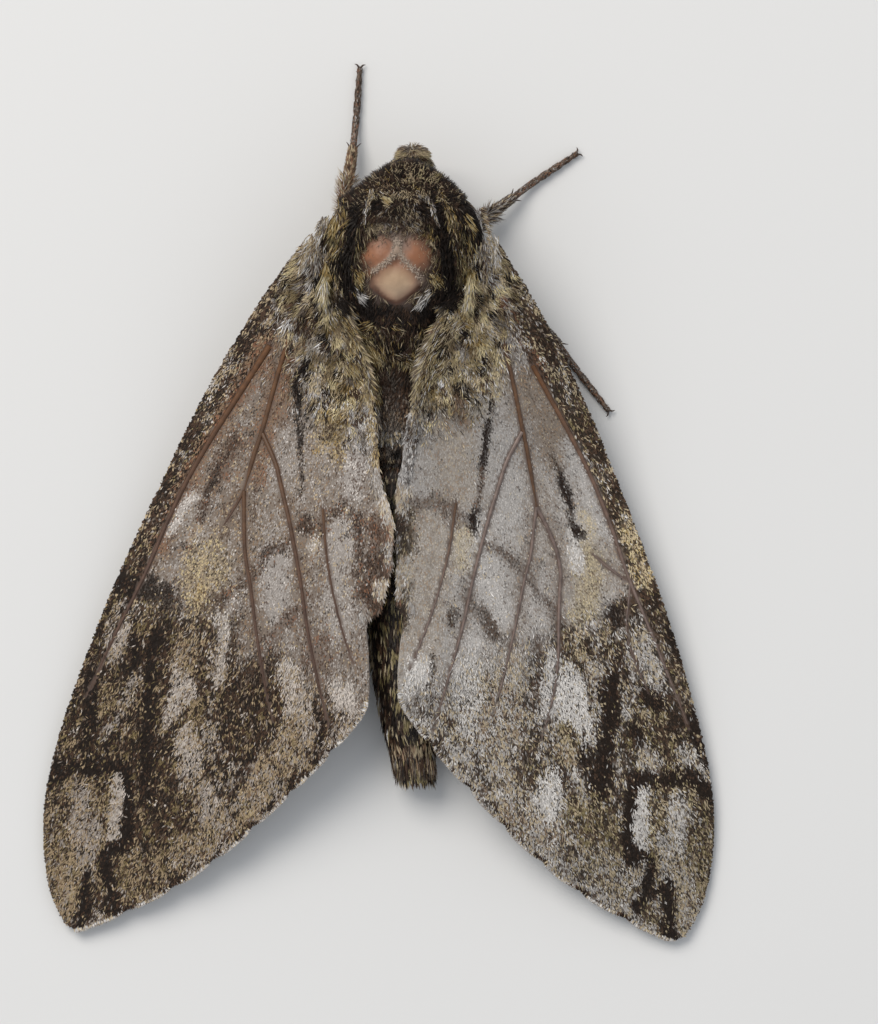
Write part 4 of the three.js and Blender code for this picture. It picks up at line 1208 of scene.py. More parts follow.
def risen(points):
    """How far the lobes and the shield stand above the trunk."""
    lobes = sum(0.36 * ramp(spot(*oval)(points) / 1.2) ** 0.7 for oval in LOBES)
    return lobes + 0.5 * ramp(in_shield(points) / 1.2) ** 0.6


def around(section_at, points):
    """How far each point lies from the skin of a barrel, in its half widths, and its angle from the top."""
    middle, wide, centre, high = section_at(points[:, 1]).T
    x, z = (points[:, 0] - middle) / wide, (points[:, 2] - centre) / high
    return np.abs(np.hypot(x, z) - 0.88), np.arctan2(x, z)


plan = skin_points[:, :2]
_, angle = around(trunk_at, skin_points)
facing_up = ramp((skin_points[:, 2] - trunk_at(plan[:, 1])[:, 2]) / 2) * (plan[:, 1] > 8)
rise = risen(plan)
for ridge in RIDGES:
    rise += 0.14 * np.exp(-((to_path(plan, ridge) / 0.26) ** 2))
skin_points[:, 2] += rise * facing_up
whole.vertices.foreach_set("co", ((skin_points + SHIFT) * MM).ravel())
whole.update()

tone = clouds(skin_points, 0.8, 21)[:, None]
grit = clouds(skin_points, 0.3, 22)[:, None]
upward = facing_up[:, None]
strayed = plan + 0.9 * (tone - 0.5) + 0.4 * (grit - 0.5)
shade = rgb("#2a1f18") * (0.7 + 0.6 * tone)
# mauve skin round the bare top, and the brown lobes on it
near_top = ramp(0.6 + np.maximum(BARE_TOP(strayed), FRONT_SKIN(strayed)) / 1.6)[:, None] * upward
shade = over(shade, rgb("#4b392f") * (0.55 + 0.5 * tone + 0.3 * grit), near_top)
brown_shell = rgb("#835539")
for oval in LOBES:
    glow = ramp(0.1 + spot(*oval)(strayed) / 0.95)[:, None] ** 0.9 * upward
    shade = over(shade, brown_shell * (0.82 + 0.2 * tone + 0.24 * grit), glow)
warm = ramp(0.6 + spot((SHIELD[0], SHIELD[1] + 1.3), (1.3, 0.7))(plan) / 0.7)[:, None] * upward
shade = over(shade, brown_shell * 0.85, warm)
# dust along the ridges
for ridge in RIDGES:
    dusty = np.exp(-(((to_path(plan, ridge) - 0.05) / 0.24) ** 2))[:, None] * upward * ramp(grit * 1.4 + 0.2)
    shade = over(shade, rgb("#8d7a6a"), dusty)
# the shield: pale, and painted lighter in its middle as a highlight on its dome, redder at its edge and
# darker towards its front, with a chestnut rim behind
shield = ramp(0.3 + in_shield(strayed * 0.3 + plan * 0.7) / 0.5)[:, None] * upward
deep = np.clip((plan[:, 1] - SHIELD[1] + 0.2) / 1.4, -0.6, 1)[:, None] * (0.1, 0.14, 0.2)
# the shield's own pale tone, with a painted highlight in its middle
shield_tone_and_highlight = over(rgb("#8c6752"), rgb("#b0957a"), ramp(in_shield(plan) / 0.9)[:, None])
shade = over(shade, shield_tone_and_highlight * (0.78 + 0.22 * tone + 0.16 * grit - deep), shield)
rim = np.exp(-(((in_shield(plan) - 0.04) / 0.2) ** 2)) * ramp((SHIELD[1] + 0.2 - plan[:, 1]) / 0.7)
shade = over(shade, rgb("#54301f"), 0.75 * rim[:, None] * upward)
paint_points(body, shade)


def body_place(y, angle, on_head=False):
    """A place on the OFBake map: the trunk unrolled below, the head above it."""
    u = 0.5 + angle / (2 * math.pi) * 0.94
    return np.c_[u, np.where(on_head, 0.86 + (y - 22.3) / 6 * 0.12, 0.02 + (y + 25.6) / 51 * 0.8)]


off_trunk, _ = around(trunk_at, skin_points)
off_head, head_angle = around(head_at, skin_points)
on_head = (plan[:, 1] > 22.4) & ((off_head < off_trunk) | (plan[:, 1] > 25.2))
lay_out(body, body_place(plan[:, 1], np.where(on_head, head_angle, angle), on_head))
# a face that spans the map's left and right edges has its left corners moved past the right edge
uv = body.data.uv_layers["OFBake"]
flat = np.empty(len(uv.data) * 2)
uv.data.foreach_get("uv", flat)
flat = flat.reshape(-1, 2)
starts = np.empty(len(whole.polygons), np.int32)
whole.polygons.foreach_get("loop_start", starts)
wide_faces = np.maximum.reduceat(flat[:, 0], starts) - np.minimum.reduceat(flat[:, 0], starts) > 0.5
owner = np.repeat(np.arange(len(starts)), np.diff(np.r_[starts, len(flat)]))
flat[:, 0] += np.where(wide_faces[owner] & (flat[:, 0] < 0.5), 0.94, 0)
uv.data.foreach_set("uv", flat.ravel().astype(np.float32))
belongs(body, "body_hair", "head", "collar", "thorax", "tegula_left", "tegula_right", "palp_left",
        "palp_right", "tail_brush", *(f"abdomen_{n}" for n in range(1, 9)))

# ---- Body hair -----------------------------------------------------------------------------------
# Long hair-like scales laid back over the body in overlapping locks: short on the head, long on the shoulder
# flaps and the thorax, flat on the abdomen.

long_hair = hair_shape("long hair", [(0, 0.42, 0), (0.3, 0.5, 0.62), (0.68, 0.36, 0.95), (1, 0, 0.85)])
short_hair = hair_shape("short hair", [(0, 0.45, 0), (0.5, 0.5, 0.8), (1, 0, 1)])

# Body hair: solid chitin bristles and blades coloured by pigment, soft and silky.
hair_finish, shader = tinted("silky body hair", 0.5)
shader.inputs["Specular IOR Level"].default_value = 0.3

FUZZ = blend(brown=40, olive=14, gold=5, black=30, cream=11)
GOLD = blend(olive=9, gold=15, straw=6, cream=11, drab=2, brown=29, black=28)
STRAW = blend(straw=46, gold=30, cream=14, brown=10)
FROST = blend(white=80, silver=20)
BELLY = blend(brown=30, drab=20, grey=14, cream=24, white=12)
BODY_MARKS = [
    # the collar, and the mottled middle behind it
    (stroke(2.6, (-2.5, 24), (0.6, 24.9), (4, 24)), blend(brown=32, olive=12, gold=8, cream=12, black=36),
     0.8),
    (stroke(1.1, (-3.6, 23.6), (-2.0, 24.6), (-0.4, 25.2), (0.6, 25.4), (1.8, 25.2), (3.2, 24.5),
            (4.8, 23.4)), BLACK, 0.4),
    (spot((0.2, 22.3), (2.4, 1.9)), blend(brown=42, cream=24, silver=4, black=22, drab=8), 0.8),
    (spot((-1.8, 22.5), (0.5, 0.75)), BLACK, 0.3),
    (spot((1.9, 22.1), (0.6, 0.7)), BLACK, 0.3),
    # the shoulder flaps: gold and brown hair edged with black
    (stroke(2.4, (-4.9, 22.8), (-5.5, 19.5), (-5.2, 16.0)), GOLD, 0.6),
    (stroke(2.4, (4.7, 22.8), (5.4, 19.5), (5.2, 16.0)), GOLD, 0.6),
    (stroke(0.95, (-2.8, 24.4), (-3.4, 22.2), (-3.75, 20.4), (-4.1, 17.6), (-4.1, 16.4)), BLACK, 0.3),
    (stroke(1.0, (2.5, 24.2), (3.1, 22.6), (3.45, 20.4), (3.75, 18.4), (3.9, 16.6)), BLACK, 0.3),
    (stroke(0.9, (3.6, 24.2), (4.3, 22.9), (4.7, 21.6)), DARK, 0.4),
    (stroke(1.1, (-5.4, 22.4), (-6.5, 21.2)), BLACK, 0.3),
    (stroke(1.0, (-6.2, 19.6), (-6.1, 18.2), (-5.6, 16.0)), BLACK, 0.4),
    (stroke(1.1, (4.7, 23.6), (5.5, 22.6)), BLACK, 0.3),
    (stroke(1.3, (6.0, 21.9), (6.6, 20.4), (6.5, 19.2)), BLACK, 0.3),
    (stroke(1.1, (6.2, 18.4), (6.1, 17.2), (5.6, 15.8)), BLACK, 0.35),
    # behind the shield
    (stroke(2.4, (-3.4, 13.3), (0, 13.5), (3.4, 13.1)), blend(black=50, brown=46, olive=4), 0.8),
    (spot((-3.9, 14.3), (2.1, 1.6), 20), BLACK, 0.4),
    (spot((3.9, 14.4), (2.2, 1.6), -20), BLACK, 0.4),
    (stroke(3.4, (-4.5, 10.9), (4.5, 10.3)), GOLD * 0.75 + STRAW * 0.25, 0.9),
    (spot((-0.2, 11.6), (1.6, 1.0)), blend(black=40, brown=50, drab=10), 0.6),
    (spot((-0.4, 6.9), (2.2, 2.2)), blend(black=8, brown=58, drab=34), 0.7),
    # the rings of the abdomen that show between the wings
    (stroke(4.4, (-2, 3.9), (1.6, 3.9)), blend(brown=30, drab=50, tan=20), 0.6),
    # a pale band across the ring's middle: a painted highlight
    (stroke(1.1, (-2, 3.4), (1.6, 3.5)), blend(silver=40, cream=40, grey=20), 0.4),
    (spot((-0.25, 2.2), (0.55, 0.35)), BLACK, 0.3),
    (stroke(0.3, (-2.5, 1.2), (2, 1.25)), BLACK, 0.15),
    (stroke(0.7, (-2.5, 0.6), (2, 0.6)), UMBRE, 0.3),
    (spot((0.1, -9.6), (1.4, 4.2)), blend(black=34, brown=24, olive=20, gold=14, straw=8), 1.2),
    (stroke(0.9, (-0.4, -22.6), (2.6, -22.4)), blend(tan=40, cream=36, brown=24), 0.4),
    (stroke(0.3, (-0.8, -23.2), (3.2, -23.1)), BLACK, 0.2),
]


def body_shares(points, angle, y):
    """The shares of each kind of hair on the body, from the place of the hair's middle."""
    plan = points[:, :2]
    top = ramp((1.75 - np.abs(angle)) / 0.3)[:, None]
    back = ramp((2 - y) / 3)[:, None]
    ring = ramp(0.5 + np.sin((y + 23.5) / 4.35 * 2 * math.pi) * 1.2)[:, None]
    spine = ramp(1.3 - np.abs(plan[:, :1] - trunk_at(y)[:, :1]) / 1.4)
    dark_rear = blend(black=56, brown=26, olive=12, cream=6)
    rear = dark_rear + (blend(black=30, brown=24, olive=30, cream=16) - dark_rear) * spine
    rear = rear * (0.75 + 0.25 * ring) + dark_rear * 0.25 * (1 - ring)
    flank = blend(black=46, brown=24, cream=20, white=10) * (1 - ring) + BELLY * ring
    rear = rear + (flank - rear) * ramp((np.abs(angle)[:, None] - 0.9) / 0.4)
    ground = painted(plan, FUZZ + (rear - FUZZ) * back, BODY_MARKS, 61, ragged=0.4, grain=(1.0, 2.2))
    return ground * top + BELLY * (1 - top)


def barrel_roots(section_at, ends, angles, count, seed, depth_at):
    """Evenly strewn places on a barrel: along it and round it, with its axes there."""
    random = np.random.default_rng(seed)
    y, angle = random.uniform(*ends, count * 3), random.uniform(*angles, count * 3)

    def at(y, angle):
        return on_barrel(section_at, y, angle, depth_at(y))

    back = at(y - 0.05, angle) - at(y + 0.05, angle)
    round_ = at(y, angle + 0.02) - at(y, angle - 0.02)
    patch = norm(np.cross(back, round_))
    kept = np.flatnonzero(random.random(len(y)) < patch / np.quantile(patch, 0.98))[:count]
    y, angle, back, round_ = y[kept], angle[kept], unit(back[kept]), unit(round_[kept])
    return y, angle, at(y, angle), back, round_, unit(np.cross(round_, back)) * -1, random


def trunk_coat(name, shape, ends, angles, count, seed, length, width, lean, swing, lift, sink=0.12, bald=True,
               barrel_at=trunk_at, depth_at=coat_at, kept_at=None, shares_at=body_shares):
    """Hair on a stretch of the trunk or head. length and lean are functions of (y, angle)."""
    y, angle, at, back, round_, up, random = barrel_roots(barrel_at, ends, angles, count, seed, depth_at)
    kept = np.ones(len(y), bool) if kept_at is None else kept_at(at)
    if bald:
        kept &= (BARE_TOP(at[:, :2] + random.normal(0, 0.2, (len(at), 2))) < -0.1) | (np.abs(angle) > 1.4)
    y, angle, at, back, round_, up = (v[kept] for v in (y, angle, at, back, round_, up))
    n = len(y)
    locks = (clouds(at, 1.3, seed + 1) - 0.5) * 2
    sideways = swing * (locks * 0.9 + random.normal(0, 0.35, n))
    rising = lean(y, angle) + random.normal(0, 0.07, n)
    heading = unit(back + round_ * sideways[:, None] + up * rising[:, None])
    long = length(y, angle) * random.uniform(0.75, 1.2, n)
    mixed = shares_at(at + heading * long[:, None] * 0.45, angle, y)
    tint = drawn(mixed, at[:, [1, 0]] + 7 * np.floor(at[:, 2:]), seed + 2, clump=0.42, together=0.65)
    tint *= random.uniform(0.85, 1.15, (n, 1)) * (0.4 + clouds(at * (1, 0.45, 1), 0.5, seed + 4))[:, None]
    coat(name, shape, hair_finish, "body_hair", at=at - up * sink, along=heading, up=up,
         size=measures(width * random.uniform(0.75, 1.25, n), long, lift * long**0.5),
         tint=tint, root=body_place(y, angle, barrel_at is head_at), root_shade=0.45)


def thorax_length(y, angle):
    """How long the thorax's hair is: longest on the shoulder flaps, shorter towards the waist."""
    flap = ramp((np.abs(angle) - 0.45) / 0.25) * ramp((22.4 - y) / 1.2)
    short = np.where(y > 19.5, 0.9, 1.2)
    return (short + (1.9 - short) * flap) * np.clip((y - 12.2) / 4.5, 0.5, 1)


def off_middle(at):
    """True outside the mottled middle, in front of the bare top."""
    return FRONT_SKIN(at[:, :2]) < 0.25


def round_bald(at):
    """False where the hair round the bare top has worn off, more and more towards it."""
    return (BARE_TOP(at[:, :2]) < -0.9 * clouds(at, 0.3, 88) ** 1.5) & off_middle(at)


def middle_shares(at, angle, y):
    """Paler hair on the thorax's middle, in front of its bare top."""
    return over(blend(cream=38, silver=8, drab=20, tan=14, brown=20), body_shares(at, angle, y), 0.3)


def middle_kept(at):
    """True in front of the bare top, as far as the hair's uneven edge by the collar."""
    return ~off_middle(at) & (at[:, 1] < 21.4 + 1.8 * clouds(at, 0.5, 87))


def border_kept(at):
    """True in a ragged band round the bare top."""
    near = BARE_TOP(at[:, :2])
    on_top = (at[:, 2] > 8) & (at[:, 1] > 14.8) & (in_shield(at[:, :2]) < -0.1)
    return on_top & (near > -1.1) & (near < 0.5 + clouds(at, 0.35, 93))


def stepped(y_step, behind, before):
    """A function that gives one value behind a place along the body and another before it."""
    return lambda y, angle: np.where(y > y_step, before, behind)


trunk_coat("thorax_hair", long_hair, (11.2, 22.4), (-1.75, 1.75), 10300, 401, thorax_length, 0.09,
           lambda y, angle: np.where(np.abs(angle) < 0.5, 0.14, 0.05), 0.85, 0.4, kept_at=round_bald)
trunk_coat("thorax_middle_hair", long_hair, (18.8, 23.4), (-0.6, 0.6), 1900, 405, level(0.8), 0.06,
           level(0.3), 1.9, 0.3, kept_at=middle_kept, shares_at=middle_shares)
trunk_coat("waist_hair", short_hair, (1.0, 12.8), (-1.6, 1.6), 6000, 411, stepped(8.6, 0.6, 1.2), 0.075,
           level(0.12), 1.1, 0.36)
trunk_coat("collar_hair", long_hair, (21.6, 24.8), (-2.0, 2.0), 4400, 421, stepped(22.8, 1.1, 0.75), 0.085,
           level(0.2), 1.3, 0.34, bald=False)
trunk_coat("breast_hair", scale_shape, (8, 24.5), (1.7, 2 * math.pi - 1.7), 9200, 431, level(1.25), 0.17,
           level(0.1), 0.4, 0.42, bald=False)
trunk_coat("abdomen_hair", scale_shape, (-24.9, 8), (-math.pi, math.pi), 19000, 441, stepped(0, 1.1, 0.55),
           0.13, level(0.03), 0.28, 0.3, bald=False)
# sparse short pale hair, tousled and standing, borders the bare top
trunk_coat("bare_border_hair", long_hair, (14.5, 21.6), (-0.9, 0.9), 2100, 451, level(0.7), 0.05,
           level(0.35), 2.2, 0.26, bald=False, kept_at=border_kept,
           shares_at=level(blend(cream=34, drab=22, brown=28, tan=16)))


def lay_on_trunk(plan):
    """The y, angle, place, and axes of the trunk's hair roots straight under plan points."""
    x, y = plan.T
    middle, wide, *_ = trunk_at(y).T
    depth = coat_at(y)
    angle = np.arcsin(np.clip((x - middle) / (wide - depth), -0.97, 0.97))
    at = on_barrel(trunk_at, y, angle, depth)
    up = unit(on_barrel(trunk_at, y, angle, depth - 0.1) - at)
    return y, angle, at, up


TRUNK_FRONT = 24.6  # from here forward the hair's height falls away
FRONT_FALL = 0.55  # by this much for each millimetre


def top_height(plan, side):
    """The height of the trunk or the forewing on that side, whichever is higher, at plan points."""
    x, y = plan.T
    cos, sin = math.cos(OPENED[side]), math.sin(OPENED[side])
    out, back = side * (x - HINGE[side][0]), y - HINGE[side][1]
    a, c = np.clip(out * sin - back * cos, WING_ROOT, 40), np.clip(-out * cos - back * sin, -3.5, 14)
    wing = on_wing(side, a, c)[:, 2] - 2.5 * np.maximum(c - inner_edge(side, a), 0)
    behind = np.minimum(y, TRUNK_FRONT)
    middle, wide, centre, high = trunk_at(behind).T
    depth = coat_at(behind)
    inside = 1 - ((x - middle) / (wide - depth)) ** 2
    trunk = np.where(inside > 0, centre + np.sqrt(np.maximum(inside, 0)) * (high - depth), 0) + risen(plan)
    return np.maximum(wing, trunk - FRONT_FALL * (y - behind))


def tuft(name, rows, seed, width=0.07, proud=0.3):
    """Locks that stand out on the body. rows: hairs, start, end, spread, length and blend."""
    random = np.random.default_rng(seed)
    made = {key: [] for key in ("at", "along", "up", "size", "tint", "root")}
    for count, start, end, spread, length, shares in rows:
        start, run = np.array(start), np.array(end) - np.array(start)
        side, reach = (RIGHT if start[0] > 0 else LEFT), np.hypot(*run)
        down = random.uniform(0, max(0.15, 1 - length / reach), count)
        roots = start + run * down[:, None] + random.normal(0, spread, (count, 2)) * (1 - 0.5 * down[:, None])
        ahead = run / reach + random.normal(0, 0.22, (count, 2))
        long = length * random.uniform(0.7, 1.2, count)
        tips = roots + unit(ahead) * long[:, None]
        at = np.c_[roots, top_height(roots, side) + random.uniform(0.0, proud, count)]
        heading = np.c_[tips, top_height(tips, side) + random.uniform(0.2, 0.3 + proud, count)] - at
        heading[:, 2] = np.clip(heading[:, 2], -0.7 * long, 0.4 * long)
        along = unit(heading)
        made["at"].append(at)
        made["along"].append(along)
        made["up"].append(unit((0, 0, 1) - along * along[:, 2:]))
        made["size"].append(measures(random.normal(width, 0.012, count), norm(heading), 0.2 * long**0.5))
        tint = drawn(level(shares)(roots), roots, seed + 1)
        made["tint"].append(tint * random.uniform(0.9, 1.15, (count, 1)))
        y, angle, _, _ = lay_on_trunk(roots)
        made["root"].append(body_place(y, angle))
    coat(name, long_hair, hair_finish, "body_hair", root_shade=0.6,
         **{key: np.concatenate(rows) for key, rows in made.items()})


GILT = blend(gold=56, straw=32, brown=12)
BUTTER = blend(straw=42, cream=30, white=18, gold=10)
BLUSH = blend(white=16, cream=48, silver=4, tan=22, drab=10)
SMOKE = blend(drab=36, grey=26, cream=18, brown=20)
tuft("thorax_tufts", [
    (130, (-4.2, 15.8), (-2.6, 14.5), 0.2, 0.95, FROST),
    (90, (2.6, 15.4), (1.3, 14.0), 0.2, 0.8, FROST * 0.7 + SMOKE * 0.3),
    (170, (4.9, 15.4), (3.2, 14.0), 0.4, 0.7, BLACK),
    (150, (-5.0, 14.8), (-4.0, 13.7), 0.35, 0.7, BLACK),
    (190, (-4.0, 17.2), (-3.0, 15.9), 0.28, 0.65, GILT),
    (130, (2.8, 16.7), (3.6, 15.7), 0.24, 0.55, GILT),
    *((95, start, end, 0.28, 0.9, GOLD * 0.45 + BUTTER * 0.2 + GILT * 0.35) for start, end in (
        ((-4.8, 22.8), (-4.9, 20.0)), ((-4.7, 20.4), (-5.1, 17.6)), ((4.1, 22.4), (4.6, 19.8)),
        ((4.6, 20.0), (4.9, 17.6)))),
    (130, (-2.3, 24.0), (-3.05, 20.7), 0.12, 0.5, BLUSH * 0.6 + PALE * 0.4),
    (120, (2.4, 23.4), (3.25, 20.6), 0.12, 0.5, SMOKE * 0.5 + PALE * 0.5),
    (90, (-1.5, 23.3), (-0.55, 22.5), 0.22, 0.5, BUTTER * 0.4 + GILT * 0.6),
    (60, (5.3, 21.7), (6.3, 20.3), 0.2, 0.8, GILT),
    (60, (4.6, 20.7), (5.4, 19.1), 0.22, 0.9, GILT),
    (90, (4.8, 18.7), (5.4, 16.8), 0.24, 0.9, GILT),
    (70, (-5.3, 21.5), (-5.7, 19.7), 0.3, 0.9, GILT),
    (80, (-4.9, 19.5), (-5.6, 18.0), 0.25, 0.9, GILT),
], 455, proud=0.55)
tuft("waist_tufts", [
    (260, (-4.6, 13.4), (-2.0, 10.4), 0.5, 0.9, GILT * 0.35 + FUZZ * 0.65),
    (220, (-3.4, 11.2), (-1.7, 6.4), 0.35, 0.8, GILT * 0.2 + BUTTER * 0.2 + FUZZ * 0.6),
    (260, (4.5, 13.0), (2.0, 9.8), 0.5, 0.9, BUTTER * 0.4 + FUZZ * 0.6),
    (220, (3.2, 10.6), (1.4, 6.0), 0.35, 0.8, BUTTER * 0.35 + FUZZ * 0.65),
    (130, (-1.4, 12.4), (-0.8, 9.6), 0.5, 0.8, FUZZ),
    (130, (1.2, 12.4), (0.8, 9.4), 0.5, 0.8, FUZZ),
    (120, (-2.8, 11.4), (-1.5, 9.2), 0.26, 1.0, GILT),
    (110, (-4.6, 10.3), (-3.4, 8.1), 0.3, 0.9, GILT * 0.7 + BUTTER * 0.3),
    (60, (-2.3, 8.4), (-1.6, 5.8), 0.16, 0.9, GILT * 0.6 + UMBRE * 0.4),
    (100, (-0.7, 10.3), (2.2, 9.1), 0.3, 0.8, GOLD * 0.5 + HAY * 0.5),
    (110, (4.0, 9.8), (2.5, 8.0), 0.28, 0.8, BUTTER * 0.7 + GOLD * 0.3),
    (50, (-2.2, 12.9), (-3.4, 12.3), 0.25, 0.7, GILT * 0.6 + GOLD * 0.4),
    (60, (-0.6, 12.9), (0.6, 12.0), 0.4, 0.7, GOLD),
    (60, (-2.0, 6.4), (-1.4, 3.0), 0.2, 0.7, SMOKE), (60, (1.6, 6.0), (0.9, 3.0), 0.2, 0.7, SMOKE),
], 457, width=0.055)
comb_path = smooth_line([(6.7, 22.4), (7.2, 20.4), (7.0, 17.2)], 8)[0]
tuft("shoulder_tufts", [
    (110, (5.95, 17.2), (5.85, 15.6), 0.2, 0.9, GILT),
    (110, (-6.1, 17.8), (-6.0, 15.8), 0.18, 0.9, GILT),
    (240, (7.5, 20.0), (8.2, 17.0), 0.26, 0.8, blend(white=36, silver=14, cream=40, grey=10)),
    (160, (7.1, 19.6), (7.2, 15.8), 0.24, 0.8, SMOKE),
    (150, (-6.1, 21.6), (-6.9, 19.8), 0.2, 0.7, BLUSH * 0.4 + SMOKE * 0.6),
    (230, (-6.9, 20.2), (-8.2, 17.2), 0.32, 0.9, BLUSH),
    (160, (-6.9, 19.4), (-7.0, 16.4), 0.28, 0.8, SMOKE),
    *((16, (x, y), (x + 0.5, y - 0.3), 0.08, 0.45, BLUSH * 0.6 + SMOKE * 0.4) for x, y in comb_path),
], 456)
TONGUE = blend(straw=74, white=22, tan=4)
tuft("flap_tongues", [
    (260, (5.85, 16.7), (5.7, 13.6), 0.13, 1.2, TONGUE),
    (260, (-6.2, 16.8), (-6.3, 13.8), 0.13, 1.2, TONGUE),
], 463, width=0.09, proud=0.7)

# Powdery white scales along the ridges between the lobes.
random = np.random.default_rng(458)
dust_at = []
for ridge in RIDGES:
    line, _ = smooth_line(ridge, 40)
    dust_at.append(line[random.integers(0, len(line), 150)] + random.normal(0, 0.13, (150, 2)))
dust_at = np.concatenate(dust_at)
y, angle, at, up = lay_on_trunk(dust_at)
lifted = risen(dust_at) + 0.12
spin = random.uniform(-math.pi, math.pi, len(y))
heading = np.c_[np.sin(spin), np.cos(spin), random.uniform(0.0, 0.4, len(y))]
coat("ridge_dust", scale_shape, scale_finish, "body_hair", at=at + up * (lifted + 0.02)[:, None],
     along=unit(heading), up=up,
     size=measures(0.1, random.uniform(0.12, 0.26, len(y)), 0.05),
     tint=rgb("#a8988a") * random.uniform(0.55, 1.1, (len(y), 1)), root=body_place(y, angle))

# The collar's front rim: dark hair that reaches forward over the feelers' roots, its tips along one curve.
rim_line = smooth_line([(-5.2, 23.2), (-4.3, 23.9), (-3.33, 24.5), (-2.78, 25.0), (-1.94, 25.6),
                        (-0.83, 26.2), (0.9, 26.6), (2.0, 26.2), (2.78, 25.8), (3.47, 25.3), (4.24, 24.8),
                        (4.86, 24.1), (5.6, 23.3)], 12)[0]
random = np.random.default_rng(459)
n = 3000
edge = random.random(n) < 0.4
pick = random.integers(1, len(rim_line) - 1, n)
outward = unit((rim_line[pick + 1] - rim_line[pick - 1])[:, ::-1] * np.array([-1, 1]))
inset = np.where(edge, 0.25 * random.random(n) ** 2, random.uniform(0.15, 1.9, n))[:, None]
tips = rim_line[pick] + random.normal(0, 0.07, (n, 2)) - outward * inset
swing = np.where(edge, 0.1, 0.75) * random.normal(0, 1, n)
ahead = outward * np.cos(swing)[:, None] + outward[:, ::-1] * np.array([1, -1]) * np.sin(swing)[:, None]
roots = tips - ahead * np.where(edge, random.uniform(0.8, 1.3, n), random.uniform(0.3, 0.62, n))[:, None]


def rim_height(plan):
    """The height of the collar's hair at plan points, which falls away in front of the trunk."""
    at = lay_on_trunk(np.c_[plan[:, 0], np.minimum(plan[:, 1], TRUNK_FRONT)])[2]
    return at[:, 2] - FRONT_FALL * np.maximum(plan[:, 1] - TRUNK_FRONT, 0)


y, angle, _, _ = lay_on_trunk(np.c_[roots[:, 0], np.minimum(roots[:, 1], 24.75)])
at = np.c_[roots, rim_height(roots) + np.where(edge, -0.15, 0.1)]
rising = np.where(edge, random.uniform(-0.7, 0, n), random.uniform(0.15, 0.45, n))
heading = np.c_[tips, rim_height(tips) + rising] - at
mixed = np.where(edge[:, None], blend(black=74, brown=20, olive=4, cream=2),
                 blend(brown=36, tan=5, gold=3, straw=4, cream=13, black=39))
coat("collar_rim_hair", long_hair, hair_finish, "body_hair", at=at, along=unit(heading),
     up=unit(np.c_[ahead * 0.5, np.ones(n)]),
     size=measures(np.where(edge, 0.1, 0.06), norm(heading), np.where(edge, 0.25, 0.16)),
     tint=drawn(mixed, roots[:, ::-1], 460, together=0.55), root=body_place(y, angle), root_shade=0.6)

# ---- Head and palps ------------------------------------------------------------------------------
# The head hangs low in front of the collar, and only the tips of the two upturned palps show from above.
# Both are clad in short dense hair, gold and cream on the palps' tips.

EYE_CENTRES = {word: (np.array(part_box(f"eye_{word}")).mean(0) / MM - SHIFT) for word in SIDES}


def off_eyes(at):
    """True away from the eyes."""
    return np.min([norm(at - middle) for middle in EYE_CENTRES.values()], axis=0) > 1.5


def head_shares(points, angle, y):
    """The head's hair: dark on the crown, paler on the cheeks."""
    crown = ramp((1.3 - np.abs(angle)) / 0.5)[:, None]
    return over(blend(brown=34, drab=20, cream=28, grey=18), blend(black=34, brown=36, olive=16, cream=14),
                crown)


trunk_coat("head_hair", short_hair, (23.0, 26.9), (-math.pi, math.pi), 3600, 461, level(0.62), 0.1,
           level(0.1), 0.4, 0.3, sink=0.06, bald=False, barrel_at=head_at, depth_at=level(HEAD_COAT),
           kept_at=off_eyes, shares_at=head_shares)


def limb_roots(path, radius_at, count, seed, span=(0.0, 1.0), beside=(0, 0, 1)):
    """Evenly strewn places on a limb: share along it, angle round it, place, and axes there."""
    random = np.random.default_rng(seed)
    line, share = smooth_line(path, 6)
    line_at = through(np.c_[share, line])
    where, angle = random.uniform(*span, count), random.uniform(-math.pi, math.pi, count)
    forward = unit(line_at(np.minimum(where + 0.01, 1)) - line_at(np.maximum(where - 0.01, 0)))
    side = unit(np.cross(forward, beside))
    up = np.cos(angle)[:, None] * np.cross(side, forward) + np.sin(angle)[:, None] * side
    at = line_at(where) + up * radius_at(where)[:, None]
    return where, angle, at, forward, np.cross(up, forward), up, random


def limb_coat(name, shape, path, radius_at, count, seed, length, width, lean, swing, lift, shares,
              slot="legs_and_feelers", span=(0.0, 1.0), beside=(0, 0, 1), pull=(0, 0, 0), floor=None):
    """Hair on a limb, lying towards its tip. length depends on the share along it, as do several shares."""
    where, angle, at, forward, round_, up, random = limb_roots(path, radius_at, count, seed, span, beside)
    swung = round_ * random.normal(0, swing, count)[:, None]
    raised = up * random.normal(lean, 0.05, count)[:, None]
    heading = unit(forward + swung + raised + np.array(pull) * where[:, None])
    long = length(where) * random.uniform(0.7, 1.2, count)
    at = at - up * 0.04
    if floor is not None:
        room = np.maximum(at[:, 2] - floor, 0.02)
        drop = -heading[:, 2] * long
        heading[:, 2] = np.where(drop > room, -room / long, heading[:, 2])
        heading = unit(heading)
    shares = np.atleast_2d(shares)
    mixed = shares[np.searchsorted(np.linspace(*span, len(shares) + 1)[1:-1], where)]
    tint = drawn(mixed, np.c_[where * 20, angle], seed + 2) * random.uniform(0.88, 1.12, (count, 1))
    root = np.c_[0.05 + 0.9 * where, 0.08 + 0.8 * (angle / (2 * math.pi) % 1)]
    coat(name, shape, hair_finish, slot, at=at, along=heading, up=up,
         size=measures(width * random.uniform(0.75, 1.25, count), long, lift),
         tint=tint, root=root, root_shade=0.6)


